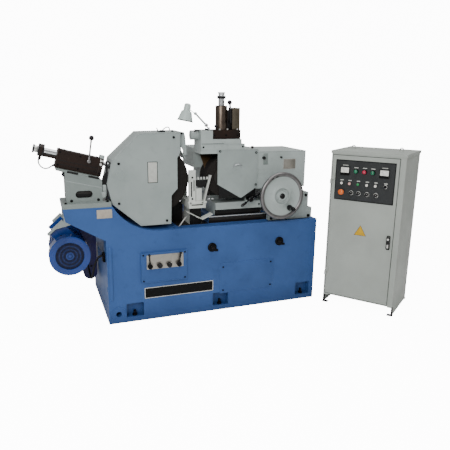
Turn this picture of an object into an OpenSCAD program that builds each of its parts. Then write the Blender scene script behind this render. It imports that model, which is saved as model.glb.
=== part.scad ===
// Centreless grinding machine with its free-standing electrical cabinet.
// Machine pieces are placed from the front left bottom corner of the bed.
// The origin is the middle of the bed's footprint at floor level, +Z is up,
// and the operator stands on the -Y side.

/* [Bed] */
// Length of the bed
bed_l = 1750; // [1650:10:1850]
// Depth of the bed from front to back
bed_d = 900; // [860:10:960]
// Height of the bed's top above the floor
bed_h = 705; // [660:5:750]
// Rise of the left shelf above the bed's top
shelf_rise = 203; // [190:1:215]
// Reach of the left shelf past the end of the bed
shelf_over = 285; // [265:5:300]
// Depth of the left shelf
shelf_d = 450; // [430:5:470]
// Height of the shelf's end face
shelf_edge = 90; // [80:2:110]
// Lean of the shelf's end face
shelf_lean = 13; // [5:1:20]
// Height from the shelf's top down to the root of its sloping underside
shelf_root = 252; // [245:1:262]
// Radius of the curved seat under the wheel guard
seat_r = 390; // [385:1:400]
// Centre of the curved seat from the left end
seat_x = 400; // [395:1:405]
// Depth of the curved seat
seat_d = 300; // [295:1:305]
// Length of the bay at the left end for motor and belts
bay_l = 300; // [290:5:320]
// Height of the bay's floor
bay_z = 480; // [460:5:490]
// Thickness of the front wall that closes the bay
bay_wall = 140; // [120:5:150]
// Thickness of the top deck over the bay
deck_t = 55; // [45:1:60]
// Casting wall round the sealed hollow
bed_wall = 45; // [35:1:50]
// Width of the coolant trough
trough_w = 70; // [60:1:74]
// Left end of the trough
trough_x = 520; // [500:5:540]
// Width of a foot pocket
foot_w = 133; // [120:1:140]
// Height of a foot pocket
foot_h = 110; // [100:1:120]
// Left pocket from the left end
foot_left = 132; // [125:1:140]
// Middle pocket from the left end
foot_mid = 826; // [800:5:850]
// Right pocket from the right end
foot_right = 173; // [165:1:180]
// Radius of the lifting-bar hole
lift_r = 21; // [18:1:24]
// Lifting-bar hole from the corner of the bed
lift_x = 73; // [65:1:80]

/* [Bed fittings] */
// Radius of a levelling bolt
level_r = 10; // [8:0.5:12]
// Radius of a bed plug's flange
plug_r = 36; // [30:1:40]
// Height of the plugs
plug_z = 538; // [500:5:560]
// Left plug from the left end
plug_left = 816; // [780:5:850]
// Distance between the plugs
plug_gap = 587; // [560:5:620]

/* [Valve panel] */
// Width of the valve cover
panel_w = 355; // [340:5:370]
// Height of the valve cover
panel_h = 236; // [225:1:245]
// Thickness of the valve cover
panel_t = 14; // [12:1:18]
// Left edge of the valve cover
panel_x = 250; // [240:5:260]
// Bottom edge of the valve cover
panel_z = 305; // [295:5:315]
// Width of the bright dial plate
dial_w = 290; // [280:1:300]
// Height of the bright dial plate
dial_h = 116; // [106:1:120]
// Spacing of the four valve spindles
valve_pitch = 75; // [70:1:78]
// Length of a valve lever
lever_l = 88; // [80:1:95]
// Lean of the left lever
lever_lean_left = -3; // [-8:1:0]
// Lean of the right lever
lever_lean_right = 10; // [5:1:14]

/* [Grinding wheel] */
// Height of both wheel centres above the bed's top
centre_rise = 373; // [365:1:380]
// Grinding spindle from the left end of the bed
grind_x = 395; // [390:1:400]
// Radius of the grinding wheel
grind_r = 250; // [240:1:252]
// Width of both wheels
wheel_w = 150; // [140:1:155]
// Front face of both wheels from the bed's face
wheel_y = 75; // [73:1:80]
// Bore radius of the grinding wheel
grind_bore_r = 101.5; // [95:0.5:105]
// Radius of the wheel flanges
flange_r = 140; // [130:1:150]
// Radius of the grinding spindle
spindle_r = 45; // [40:1:48]
// Outer radius of a spindle bearing
bearing_r = 75; // [70:1:80]

/* [Grinding head] */
// Depth of the grinding head
head_d = 250; // [240:5:260]
// Radius of the head's spindle barrel
barrel_r = 130; // [120:1:140]
// Length of the head's foot
head_l = 470; // [460:5:480]
// Width of the head's neck
neck_w = 250; // [240:5:255]
// Height of the head's foot
head_foot_h = 60; // [50:1:70]
// Rise of the pad that carries the head
pad_rise = 115; // [105:1:125]
// Length of the pad
pad_l = 500; // [490:5:510]

/* [Wheel guard] */
// Width of the guard
guard_w = 547; // [540:1:552]
// Height of the guard
guard_h = 689; // [684:1:694]
// Left edge of the guard from the spindle
guard_left = 366; // [363:1:369]
// Bottom edge of the guard below the spindle
guard_drop = 336; // [333:1:338]
// Front face of the guard plate from the bed's face
guard_y = 40; // [34:1:44]
// Height of the work opening above the spindle
work_up = 190; // [188:1:194]
// Height of the work opening below the spindle
work_down = 240; // [236:1:244]
// Radius of the round mark on the front plate
guard_disc_r = 35; // [30:1:40]
// Radius of a cover screw's head
screw_r = 8; // [6:0.5:10]

/* [Splash flap] */
// Length of the flap from its hinge
flap_l = 192; // [180:1:200]
// Width of the flap along the spindle
flap_w = 165; // [160:1:170]

/* [Motor and belts] */
// Motor centre left of the bed's end
motor_x = 250; // [245:1:255]
// Height of the motor's centre above the bay floor
motor_rise = 57; // [50:1:64]
// Front of the motor from the bed's face
motor_y = 100; // [90:5:110]
// Radius of the fan cover
fan_cover_r = 147; // [144:1:152]
// Length of the fan cover
fan_cover_l = 95; // [90:1:100]
// Radius of the motor's barrel
motor_r = 124; // [120:1:128]
// From the motor's barrel to the belt guard
motor_room = 30; // [29:1:34]
// Number of fin places round the barrel
fin_n = 32; // [24:4:36]
// Wall of the motor's barrel
motor_wall = 36; // [30:1:40]
// Radius of the motor shaft
motor_shaft_r = 21; // [19:1:24]
// Radius of the motor's fan
fan_r = 118; // [110:1:124]
// Foot height of the motor
motor_foot = 191; // [187:1:193]
// Thickness of the motor's mounting plate
mount_t = 14; // [12:1:18]
// Width of each mounting bar along the motor
mount_d = 40; // [36:1:44]
// Height of the mounting plate
mount_h = 150; // [146:2:156]
// Radius of the motor pulley
motor_pulley_r = 90; // [86:1:94]
// Radius of the spindle pulley
spindle_pulley_r = 100; // [96:1:104]
// Width of both pulleys
pulley_w = 80; // [78:1:84]
// Number of belts
belt_n = 4; // [3:1:4]
// Width of a belt
belt_w = 13; // [11:1:15]
// Thickness of a belt
belt_t = 8; // [7:0.5:10]
// Radius of the belt guard's ends
belt_guard_r = 125; // [122:1:130]
// Depth of the belt guard
belt_guard_d = 115; // [112:1:120]

/* [Wheel dresser] */
// Downward tilt of the dresser towards the wheel
dresser_tilt = 14.5; // [13.5:0.5:15.5]
// Collar of the dresser left of the bed's end
dresser_x = 396; // [390:1:400]
// Height of the collar above the shelf
dresser_rise = 402; // [398:1:406]
// Middle of the dresser from the bed's face
dresser_y = 145; // [140:1:150]
// Length of the dresser's body
dresser_l = 322; // [315:1:330]
// Width of the dresser's body
dresser_w = 112; // [104:1:118]
// Place of the ball lever along the dresser
lever_s = 322; // [310:1:330]
// Lean of the ball lever
lever_lean = 9; // [4:1:12]
// Height of the body above the quill's axis
dresser_up = 37; // [34:1:40]
// Depth of the body below the quill's axis
dresser_down = 92; // [88:1:96]
// Length of the exposed quill
quill_show = 84; // [80:1:90]
// Radius of the quill
quill_r = 21; // [18:1:23]
// Radius of the fixed collar
collar_r = 43; // [40:1:46]
// Radius of the feed knob
feed_knob_r = 29; // [26:1:32]
// Length of the feed knob
feed_knob_l = 36; // [32:1:42]
// Length of the dresser's ball lever
ball_lever_l = 165; // [155:1:175]
// Radius of its rod
ball_lever_r = 5; // [4:0.5:6]
// Radius of its ball
ball_r = 18; // [16:1:20]
// Thickness of the bracket's base plate
bracket_base_t = 34; // [30:1:38]
// Depth of the bracket's base plate
bracket_base_d = 286; // [275:1:288]
// Length of the bracket's body
bracket_l = 250; // [240:1:260]
// Depth of the bracket's body
bracket_d = 200; // [196:1:204]
// Length of the bracket's window
window_l = 118; // [105:1:125]
// Height of the bracket's window
window_h = 52; // [46:1:56]

/* [Work rest] */
// Length of the work rest's base
rest_l = 135; // [130:1:138]
// Left edge of the base from the bed's left end
rest_x = 640; // [638:1:642]
// Depth of the base
rest_d = 250; // [245:1:254]
// Top of the base above the bed's top
rest_rise = 200; // [195:1:205]
// Thickness of the base
rest_t = 55; // [50:1:60]
// Front of the base from the bed's face
rest_y = 38; // [34:1:42]
// Height of the guide posts above the base
post_h = 240; // [230:1:246]
// Width of a guide post
post_w = 52; // [48:1:56]
// Height of the inclined guide plate
guide_h = 197; // [185:1:200]
// Lean of the inclined guide plate
guide_lean = 13; // [10:1:15]
// Radius of the half-round front guide
cup_r = 54; // [48:1:56]
// Length of the blade along the wheels
blade_l = 200; // [190:5:205]
// Thickness of the work-rest blade
blade_t = 12; // [8:1:14]
// Length of the drip tray
tray_l = 225; // [215:1:230]

/* [Feed slide] */
// Left end of the slide from the bed's left end
slide_x = 880; // [876:1:884]
// Length of the slide
slide_l = 405; // [400:1:408]
// Height of the slide
slide_h = 106; // [100:1:110]
// Front of the slide from the bed's face
slide_y = 100; // [95:1:110]
// Width of the ways
way_w = 395; // [385:1:400]
// Length of the clamp's handle
clamp_l = 84; // [76:1:88]

/* [Regulating head] */
// Distance between the two spindles at rest
spindle_gap = 540; // [536:1:546]
// Radius of the regulating wheel
reg_r = 150; // [144:1:152]
// Bore radius of the regulating wheel
reg_bore_r = 63.5; // [60:0.5:66]
// Radius of the regulating spindle
reg_spindle_r = 32; // [28:1:35]
// Length of the wheel hood
hood_l = 475; // [470:1:480]
// Left end of the hood left of the regulating spindle
hood_left = 193; // [190:1:196]
// Thickness of the hood's top
hood_t = 30; // [26:1:32]
// Top of the hood above the wheel centres
hood_rise = 214; // [210:1:218]
// Front of the hood from the bed's face
hood_y = 60; // [56:1:64]
// Width of the pentagonal cover
cover_w = 339; // [334:1:344]
// Height of the pentagonal cover
cover_h = 386; // [380:1:392]
// Front of the head's main body from the bed's face
body_y = 245; // [243:1:250]
// Depth of the head's main body
body_d = 315; // [305:5:325]
// Length of the drive box on the right
drive_l = 429; // [420:1:436]
// Height of the drive box
drive_h = 297; // [290:1:300]

/* [Infeed] */
// Left end of the infeed box from the bed's left end
infeed_x = 1330; // [1326:1:1336]
// Length of the infeed box's foot
infeed_l = 400; // [390:1:410]
// Height of the infeed box's foot
infeed_foot_h = 88; // [80:1:92]
// Height of the infeed box
infeed_h = 220; // [212:1:222]
// Front of the infeed box from the bed's face
infeed_y = 60; // [56:1:70]
// Depth of the infeed box
infeed_d = 380; // [375:1:390]
// Height of the handwheel shaft above the bed's top
hand_rise = 227; // [224:1:229]
// Handwheel shaft from the left end of the infeed box
hand_in = 40; // [39:1:42]
// Height of the screw's axis above the bed's top
screw_rise = 130; // [126:1:134]
// Screw's axis from the bed's face
screw_y = 330; // [325:1:335]
// Radius of the infeed screw
lead_r = 18; // [16:1:19]
// Radius of the handwheel's rim
hand_r = 190; // [180:1:195]
// Front of the rim from the bed's face
hand_y = 98; // [94:1:104]
// Radius of the small gear on the handwheel shaft
small_gear_r = 24; // [22:0.5:26]
// Radius at which the grip stands
grip_at = 118; // [110:1:126]
// Angle of the grip
grip_turn = -55; // [-65:1:-45]
// Length of the grip
grip_l = 92; // [84:1:100]
// Radius of the grip's base
grip_r = 24; // [20:1:26]

/* [Top dresser] */
// Length of the top dresser's base
top_base_l = 360; // [355:1:364]
// Depth of the top dresser's base
top_base_d = 180; // [175:1:184]
// Thickness of the top dresser's base
top_base_t = 42; // [38:1:46]
// Front of the top dresser's base
top_base_y = 62; // [58:1:64]
// Length of the raised block on the base
top_block_l = 94; // [90:1:98]
// Height of the raised block above the step
top_block_h = 66; // [62:1:70]
// Length of the stub
stub_l = 58; // [52:1:62]
// Length of the dresser slide
top_slide_l = 238; // [234:1:242]
// Thickness of the dresser slide
top_slide_t = 68; // [64:1:72]
// Depth of the dresser slide
top_slide_d = 116; // [110:1:118]
// Width of the left column
column_w = 90; // [84:1:92]
// Height of the left column above the slide
column_h = 182; // [176:1:188]
// Width of the right column
side_column_w = 62; // [56:1:66]
// Height of the right column above the slide
side_column_h = 166; // [160:1:170]
// Radius of the top quill
top_quill_r = 24; // [22:1:26]
// Length of quill above the column
top_quill_show = 62; // [56:1:66]
// Radius of the quill's knob
top_knob_r = 33; // [30:1:36]
// Height of the quill's knob
top_knob_h = 38; // [34:1:42]
// Gap from the diamond to the regulating wheel
top_diamond_gap = 34; // [33:1:38]
// Length of the top lever
top_lever_l = 147; // [142:1:152]

/* [Lamp] */
// Length of the lamp's upper arm
lamp_arm_l = 121; // [116:1:126]
// Angle of the upper arm above level
lamp_angle = 45; // [41:1:49]
// Radius of the shade's rim
shade_r = 59; // [55:1:61]
// Height of the shade
shade_h = 125; // [120:1:130]
// Lean of the shade
shade_lean = 11; // [7:1:15]

/* [Cabinet] */
// Width of the cabinet
cab_w = 578; // [565:1:590]
// Depth of the cabinet
cab_d = 476; // [460:1:490]
// Height of the cabinet
cab_h = 1288; // [1270:1:1310]
// Cabinet's near corner from the right end of the bed
cab_gap = 34; // [30:1:50]
// Cabinet's near corner in front of the bed
cab_front = 118; // [110:1:124]
// Turn of the cabinet towards the operator
cab_turn = -52.5; // [-56:0.5:-50]
// Height of the angle-iron feet
cab_foot_h = 75; // [70:1:80]
// Width of the door
door_w = 518; // [512:1:522]
// Thickness of the door
door_t = 20; // [18:1:24]
// Length of the door handle
handle_l = 92; // [84:1:100]
// Width of the door handle
handle_w = 26; // [22:1:30]
// Height of the door handle above the floor
handle_z = 556; // [540:1:570]

/* [Control panel] */
// Width of the control plate
plate_w = 468; // [460:1:474]
// Height of the control plate
plate_h = 320; // [310:1:330]
// Left edge of the control plate from the cabinet's corner
plate_x = 42; // [38:1:44]
// Bottom edge of the control plate below the cabinet's top
plate_drop = 388; // [380:1:400]

/* [Clearances] */
// Radial clearance of a running fit
run_gap = 0.05; // [0.02:0.01:0.09]
// Clearance between sliding faces
slide_gap = 0.4; // [0.35:0.05:0.8]
// Clearance between pieces that pass each other
free_gap = 1; // [0.8:0.1:1.5]
// Clearance of a bolt in its hole
bolt_gap = 0.5; // [0.4:0.1:1]

/* [Hidden] */
$fn = 48;

// Overrun of every cut
over = 1;
// Colours of the finishes
bed_blue = "#4468A0";
cover_grey = "#B9C3C0";
steel = "#B8BCBE";
dark_brown = "#2A1B16";
black = "#1C1C1E";
motor_blue = "#2F5FA5";
navy = "#22335F";
abrasive = "#3A3634";
cabinet_grey = "#A5AAA5";

// Small sizes: walls, pins, screws and gaps
valve_r = 6;
lever_hub_r = 19;
trough_t = 60;
floor_t = 30;
throttle_r = 20;
foot_z = 40;
meter_w = 72;
meter_h = 66;
signal_r = 15;
button_r = 10;
bezel_r = 15;
stop_r = 22;
stop_h = 16;
selector_r = 14;
selector_l = 30;
nose_l = 100;
clamp_r = 20;
way_h = 57;
stub_r = 36;
hand_shaft_r = 14;
foot_t = 60;
lift_t = 100;
leg_hole_t = 30;
level_nut_r = 19;
level_nut_h = 16;
level_y = 32;
plug_t = 8;
plug_hub = 18;
dial_t = 2;
lever_hub_t = 19;
throttle_t = 22;
guard_disc_t = 1.5;
screw_t = 5;
flap_pin_r = 5;
flap_lug_r = 11;
flap_lug_w = 18;
fin_t = 5;
fin_h = 12;
shield_l = 26;
bearing_w = 60;
bracket_web = 22;
rail_t = 16;
bar_w = 40;
bar_t = 18;
lever_pin_r = 7;
lever_pin_l = 24;
feed_screw_r = 8;
tray_t = 5;
guide_t = 8;
hood_wall = 10;
cover_t = 6;
drive_wall = 20;
gear_gap = 0.5;
gear_w = 24;
reg_flange_t = 5;
grip_pin_r = 6;
infeed_step = 38;
dome_r = 38;
nose_out = 40;
screw_end = 230;
screw_out = 230;
top_step_h = 37;
top_step = 28;
slot_w = 40;
slot_l = 156;
knuckle_r = 11;
lamp_rod_r = 5;
lamp_low_l = 44;
shade_wall = 2;
cab_sheet = 3;
cab_foot_t = 6;
cab_foot_w = 40;
roof_h = 22;
roof_over = 6;
door_gap = 2;
hinge_r = 7;
hinge_l = 34;
hinge_pin_r = 3;
eye_r = 14;
eye_bar_r = 4;
handle_t = 18;
handle_shaft_r = 8;
plate_t = 3;
meter_t = 12;
bezel_h = 5;
button_h = 9;
button_stroke = 4;
stop_stroke = 6;
plunger_r = 5;
selector_w = 9;
signal_h = 14;
way_side = 5;
way_over = 60;
slab_t = 57;
nut_l = 260;
trough_lip = 30;
trough_end = 50;
leg_hole_r = 20;
level_h = 84;
flange_t = 18;
guard_plate_t = 6;
guard_wall = 6;
flap_t = 4;
lever_rod_r = 5;
lever_ball_r = 9;
conduit_r = 8;
hose_r = 5;
post_t = 26;
blade_drop = 8;
belt_guard_t = 4;
rim_w = 26;
rim_t = 34;
collar_t = 40;
nose_r = 15;
door_margin = 12;

// Heights worked out from the bed
shelf_z = bed_h + shelf_rise;
root_z = shelf_z - shelf_root;
seat_z = bed_h + seat_r;
shelf_x = seat_x - sqrt(seat_r * seat_r - (seat_z - shelf_z) * (seat_z - shelf_z));
wheel_z = bed_h + centre_rise;
pad_z = bed_h + pad_rise;
way_z = bed_h + way_h;
reg_x = grind_x + spindle_gap;
pad_x = grind_x - pad_l / 2;
head_end = seat_d + head_d;
wheel_end = wheel_y + wheel_w;

// Places of the foot pockets
foot_places = [foot_left, foot_mid, bed_l - foot_right];

// Valve spindles
valve_first = panel_x + (panel_w - 3 * valve_pitch) / 2;
dial_x = panel_x + (panel_w - dial_w) * 0.6;
dial_z = panel_z + panel_h * 0.445;
valve_z = panel_z + panel_h * 9/16;
panel_face = panel_t + dial_t;
leg_hole_shares = [[0.045, 0.387], [0.27, 0.125]];

// Wheel guard outline, as shares of its width and height
guard_shares = [[0.434, 0], [0.859, 0], [0.867, 0.316], [0.953, 0.39],
    [0.953, 0.723], [0.991, 0.777], [1, 1], [0.453, 0.991], [0.077, 0.716],
    [0, 0.473], [0.062, 0.254]];
guard_x = grind_x - guard_left;
guard_z = wheel_z - guard_drop;
guard_back = guard_y + guard_plate_t;
function guard_outline(inset) = [for (s = guard_shares)
    [guard_x + inset + s[0] * (guard_w - 2 * inset),
     guard_z + inset + s[1] * (guard_h - 2 * inset)]];
disc_x = guard_x + guard_w * 0.185;
disc_z = guard_z + guard_h * 0.568;
// Play round the shafts that pass through walls
tunnel_gap = bearing_r - spindle_r - screw_r;
port_gap = wheel_y / 3;
port_w = bracket_d * 0.84;
port_h = 2 * quill_r + screw_r;
guard_screw_shares = [[0.904, 0.945], [0.16, 0.68], [0.147, 0.26], [0.797, 0.041]];

// Splash flap hinge
flap_x = guard_x + guard_w + flap_lug_r + free_gap;
flap_z = guard_z + guard_h - flap_lug_r;
flap_y = wheel_y - free_gap * 2;

// Motor and belts
motor_z = bay_z + motor_rise;
frame_y = motor_y + fan_cover_l;
motor_l = head_end - motor_room - frame_y;
shield_y = frame_y + motor_l;
belt_y = head_end + (belt_guard_d - pulley_w) / 2;
belt_dx = grind_x + motor_x;
belt_dz = wheel_z - motor_z;
belt_span = sqrt(belt_dx * belt_dx + belt_dz * belt_dz);
belt_angle = atan2(belt_dz, belt_dx);
belt_pitch = pulley_w / belt_n;

// Wheel dresser, measured along its tilted axis from the collar's middle
dresser_z = shelf_z + dresser_rise;
base_z = shelf_z + bracket_base_t;
bracket_end = shelf_x - screw_r;
bracket_x = -shelf_over + bracket_base_t - guard_disc_t * 2;
bracket_in = feed_screw_r + free_gap * 2;
quill_s = collar_t / 2 + free_gap;
window_x = bracket_x + bracket_l * 0.36;
window_z = base_z + window_h * 0.62;
fitting_r = hose_r + free_gap * 3;
body_s = collar_t / 2 + quill_show;
body_end_s = body_s + dresser_l;
slide_face = dresser_down + slide_gap;

// Work rest
rest_z = bed_h + rest_rise;
way_y = slide_y + way_side;
slide_d = way_w + 2 * way_side;
blade_y = rest_y + rest_d * 0.09;
cup_z = rest_z + post_h * 0.68;
blade_x = rest_x + rest_l * 1/2;
cup_x = rest_x + post_w + cup_r - post_w * 1/4;

// Regulating head
hood_x = reg_x - hood_left;
hood_z = wheel_z + hood_rise;
hood_end = hood_x + hood_l;
drive_end = hood_end + drive_l;
drive_z = hood_z - drive_wall - drive_h;
slide_top = way_z + slide_gap + slide_h;
cover_shares = [[0, 1], [0, 0.303], [0.584, 0], [1, 0.225], [1, 1]];
cover_screw_shares = [[0.05, 0.97], [0.95, 0.93], [0.96, 0.27]];
clamp_x = slide_x + slide_l * 0.684;
clamp_z = slide_top + clamp_r * 1.25;
clamp_lean = 57.5;
clamp_hub_t = slide_y - hood_y + 2 * clamp_r * 1/2;

// Infeed
hand_x = infeed_x + hand_in;
hand_z = bed_h + hand_rise;
screw_z = bed_h + screw_rise;
grip_x = hand_x + grip_at * cos(grip_turn);
grip_z = hand_z + grip_at * sin(grip_turn);
hub_in = rim_t * 1/4;
big_gear_r = hand_z - screw_z - small_gear_r - gear_gap;

// Top dresser
top_z = hood_z;
top_quill_y = wheel_y + wheel_w / 2;
top_step_z = top_z + top_base_t + top_step_h;
top_slide_z = top_step_z + slide_gap;
column_z = top_slide_z + top_slide_t;
top_base_x = hood_x + free_gap;
top_slide_y = top_quill_y - top_slide_d / 2;
lamp_x = top_base_x + top_block_l - knuckle_r;
lamp_y = top_base_y + top_base_d / 3;
lamp_z = top_step_z + top_block_h;
lamp_pin_r = lamp_rod_r * 1.4;
lamp_pin_l = knuckle_r * 2;
lamp_low_lean = 31;
elbow_x = lamp_x - (lamp_low_l) * sin(lamp_low_lean);
elbow_z = lamp_z + slide_gap + lamp_low_l * cos(lamp_low_lean);
joint_x = elbow_x - lamp_arm_l * cos(lamp_angle);
joint_z = elbow_z + lamp_arm_l * sin(lamp_angle);
shade_x = joint_x - shade_r * 1.4;
shade_z = joint_z - shade_h * 0.43;
stem_lean = 56;
stem_l = shade_r * 1.05;
side_column_x = reg_x + column_w / 2 + top_quill_r + lever_pin_r;
top_lever_x = side_column_x - clamp_r;
top_lever_z = column_z + side_column_h * 0.36;
top_hub_l = top_slide_d / 2 - column_w / 4;

// Cabinet
body_h = cab_h - cab_foot_h;
plate_z = cab_h - plate_drop;
door_x = door_margin;
door_z = cab_foot_h + door_margin + door_gap;
door_h = body_h - roof_h - 2 * door_margin - 2 * door_gap;
hinge_places = [door_z + door_h * 1/6, door_z + door_h * 5/6];
door_face = free_gap * 4;
plate_face = door_face + plate_t;
hinge_y = door_face + hinge_r + door_gap;
handle_x = door_x + door_w * 0.945;
handle_hub_z = handle_z + handle_l - handle_w / 2;
button_shares = [0.122, 0.26, 0.405, 0.554, 0.696];
selector_shares = [0.292, 0.42, 0.562, 0.712];
button_row_share = 0.425;
selector_row_share = 0.2;
lamp_shares = [0.353, 0.496, 0.635];
meter_shares = [0.168, 0.825];
top_row_share = 0.735;
stop_share = 0.127;
lock_share = 0.856;
plunger_places = concat([for (u = button_shares) place(u, button_row_share)],
    [for (u = selector_shares) place(u, selector_row_share)],
    [place(stop_share, selector_row_share)]);

// Terminal box of the motor and the box on the leg
box_x = -motor_x + motor_r * 5/4;
box_y = frame_y + motor_l / 3;
box_w = motor_r * 2/3;
box_z = motor_z - motor_r;
motor_foot_in = motor_wall;
foot_pad = motor_wall;
foot_span = motor_r;
grille_r = fan_cover_r * 0.69;
leg_gap = motor_wall / 3;
lobe_z = bay_z - belt_guard_r * 1.9;
fan_in = fan_cover_l / 4;
mount_turn = 42;
mount_down = mount_h / 15;
mount_l = motor_l - motor_wall;
mount_in = motor_wall / 2;
shelf_corner = [-shelf_over + shelf_lean, shelf_z - shelf_edge];
gusset_foot = shelf_corner + 0.38 * ([0, root_z] - shelf_corner);
gusset_l = mount_h * 0.4;
leg_box_t = conduit_r * 2;
leg_box_w = conduit_r * 6;
leg_box_h = conduit_r * 9;
// Route of the motor's conduit, from the leg to the motor's box
conduit_points = [[-16, 100, 520], [-30, 101, 518], [-46, 104, 508], [-60, 110, 488],
    [-70, 118, 460], [-78, 128, 430], [-84, 140, 398], [-88, 156, 364],
    [-91, 180, 332], [-93, 212, 312], [-95, 246, 306], [-97, 278, 316],
    [-100, 304, 338], [-104, 320, 364], [-107, 327, 388], [-108, 328, 410.5]];
// Route of the dresser hose in the dresser's frame
hose_points = [[0, 0, -54.5], [-4, 0, -75], [5, 0, -98], [25, 0, -116], [49, 0, -121],
    [70, 0, -113], [86, 0, -98], [99, 0, -87]];

// Helpers
module machine() {
    translate([-bed_l / 2, -bed_d / 2, 0]) children();
}
module across(y0, y1) {
    translate([0, y1, 0]) rotate([90, 0, 0]) linear_extrude(y1 - y0) children();
}
module rod_y(x, y, z, r, l) {
    translate([x, y, z]) rotate([-90, 0, 0]) cylinder(r = r, h = l);
}
module rod_x(x, y, z, r, l) {
    translate([x, y, z]) rotate([0, 90, 0]) cylinder(r = r, h = l);
}
module block(x0, x1, y0, y1, z0, z1) {
    translate([x0, y0, z0]) cube([x1 - x0, y1 - y0, z1 - z0]);
}
function arc(cx, cz, r, a0, a1, n) = [for (i = [0:n])
    let (a = a0 + (a1 - a0) * i / n) [cx + r * cos(a), cz + r * sin(a)]];

// A round tube along a route: each ring stands square to the route
function unit(v) = v / norm(v);
function heading(p, i) = i == 0 ? unit(p[1] - p[0])
    : i == len(p) - 1 ? unit(p[i] - p[i - 1]) : unit(p[i + 1] - p[i - 1]);
module tube_along(p, r, sides, up) {
    rings = [for (i = [0:len(p) - 1])
        let (t = heading(p, i), u = unit(cross(up, t)), w = cross(t, u))
        for (k = [0:sides - 1])
            let (a = 360 * k / sides) p[i] + r * cos(a) * u + r * sin(a) * w];
    sides_faces = [for (i = [0:len(p) - 2]) for (k = [0:sides - 1])
        for (f = [0, 1])
            let (a = i * sides + k, b = i * sides + (k + 1) % sides)
            f == 0 ? [b, a, a + sides] : [b + sides, b, a + sides]];
    last = (len(p) - 1) * sides;
    start_cap = [for (k = [1:sides - 2]) [0, k, k + 1]];
    end_cap = [for (k = [1:sides - 2]) [last, last + k + 1, last + k]];
    polyhedron(points = rings, faces = concat(sides_faces, start_cap, end_cap));
}

// Bed
module bed_casting() machine() color(bed_blue) difference() {
    union() {
        block(0, bed_l, 0, bed_d, 0, bed_h);
        across(0, seat_d) polygon(concat([[0, root_z], [seat_x, root_z]],
            arc(seat_x, seat_z, seat_r, -90,
                -180 + asin((seat_z - shelf_z) / seat_r), 10),
            [[0, shelf_z]]));
        across(0, shelf_d) polygon([[shelf_x, root_z], [shelf_x, shelf_z],
            [-shelf_over, shelf_z], [-shelf_over + shelf_lean, shelf_z - shelf_edge],
            [0, root_z]]);
        block(pad_x, pad_x + pad_l, seat_d, head_end, bed_h, pad_z);
        block(slide_x - way_over, infeed_x, way_y, way_y + way_w, bed_h, way_z);
    }
    // Bay for the motor and the belts
    block(-over, bay_l, bay_wall, head_end, bay_z, bed_h - deck_t);
    block(-over, bay_l, head_end, bed_d + over, bay_z, bed_h + over);
    // Coolant trough
    block(trough_x, bed_l - trough_end, trough_lip, trough_lip + trough_w,
        bed_h - trough_t, bed_h + over);
    // Sealed hollow
    across(trough_lip + trough_w + bed_wall, bed_d - foot_t - bed_wall)
        polygon([[bed_wall, floor_t], [bed_l - bed_wall, floor_t],
            [bed_l - bed_wall, bed_h - deck_t], [bay_l + bed_wall, bed_h - deck_t],
            [bay_l + bed_wall, bay_z - bed_wall], [bed_wall, bay_z - bed_wall]]);
    // Foot pockets, front and back
    for (x = foot_places) {
        block(x, x + foot_w, -over, foot_t, foot_z, foot_z + foot_h);
        block(x, x + foot_w, bed_d - foot_t, bed_d + over, foot_z, foot_z + foot_h);
        for (y = [level_y, bed_d - level_y])
            translate([x + foot_w / 2, y, -over])
                cylinder(r = level_r + bolt_gap, h = foot_z + 2 * over);
    }
    // Lifting-bar hole and the openings in the leg
    rod_y(lift_x, -over, lift_x, lift_r, lift_t + over);
    for (s = leg_hole_shares)
        rod_x(-over, s[0] * bed_d, s[1] * bed_h, leg_hole_r, leg_hole_t + over);
}

// Levelling bolts and the two plugs on the bed's front
module bed_fittings() machine() color(black) {
    for (x = foot_places) for (y = [level_y, bed_d - level_y])
        translate([x + foot_w / 2, y, 0]) {
            cylinder(r = level_r, h = level_h);
            translate([0, 0, foot_z]) cylinder(r = level_nut_r, h = level_nut_h, $fn = 6);
        }
    for (x = [plug_left, plug_left + plug_gap]) {
        rod_y(x, -plug_t, plug_z, plug_r, plug_t);
        rod_y(x, -plug_t - plug_hub, plug_z, plug_r * 2/3, plug_hub);
    }
}

// Cover of the coolant valves with its dial plate
module valve_panel() machine() {
    difference() {
        union() {
            color(bed_blue)
                block(panel_x, panel_x + panel_w, -panel_t, 0, panel_z, panel_z + panel_h);
            color(steel)
                block(dial_x, dial_x + dial_w, -panel_face, -panel_t, dial_z, dial_z + dial_h);
        }
        for (i = [0:3])
            rod_y(valve_first + i * valve_pitch, -panel_face - over, valve_z,
                valve_r + run_gap, panel_face + over * 2);
    }
}
module valve_shaft(x) {
    rod_y(x, -panel_face - slide_gap - over, valve_z, valve_r, panel_face + slide_gap);
}
module valve_lever(x, lean) {
    hub_y = panel_face + slide_gap + lever_hub_t;
    valve_shaft(x);
    rod_y(x, -hub_y, valve_z, lever_hub_r, lever_hub_t);
    translate([x, -hub_y + lever_hub_t / 2, valve_z]) rotate([0, lean, 0]) {
        cylinder(r = lever_rod_r, h = lever_l);
        translate([0, 0, lever_l]) sphere(lever_ball_r);
    }
}
module throttle_knob(x) {
    hub_y = panel_face + slide_gap + throttle_t;
    valve_shaft(x);
    rod_y(x, -hub_y, valve_z, throttle_r, throttle_t);
    rod_y(x, -hub_y - throttle_t * 1/4, valve_z, throttle_r * 3/4, throttle_t * 1/4 + over);
}
module valve_lever_left() machine() color(black)
    valve_lever(valve_first, lever_lean_left);
module valve_lever_right() machine() color(black)
    valve_lever(valve_first + 3 * valve_pitch, lever_lean_right);
module throttle_knob_left() machine() color(black)
    throttle_knob(valve_first + valve_pitch);
module throttle_knob_right() machine() color(black)
    throttle_knob(valve_first + 2 * valve_pitch);

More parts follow.
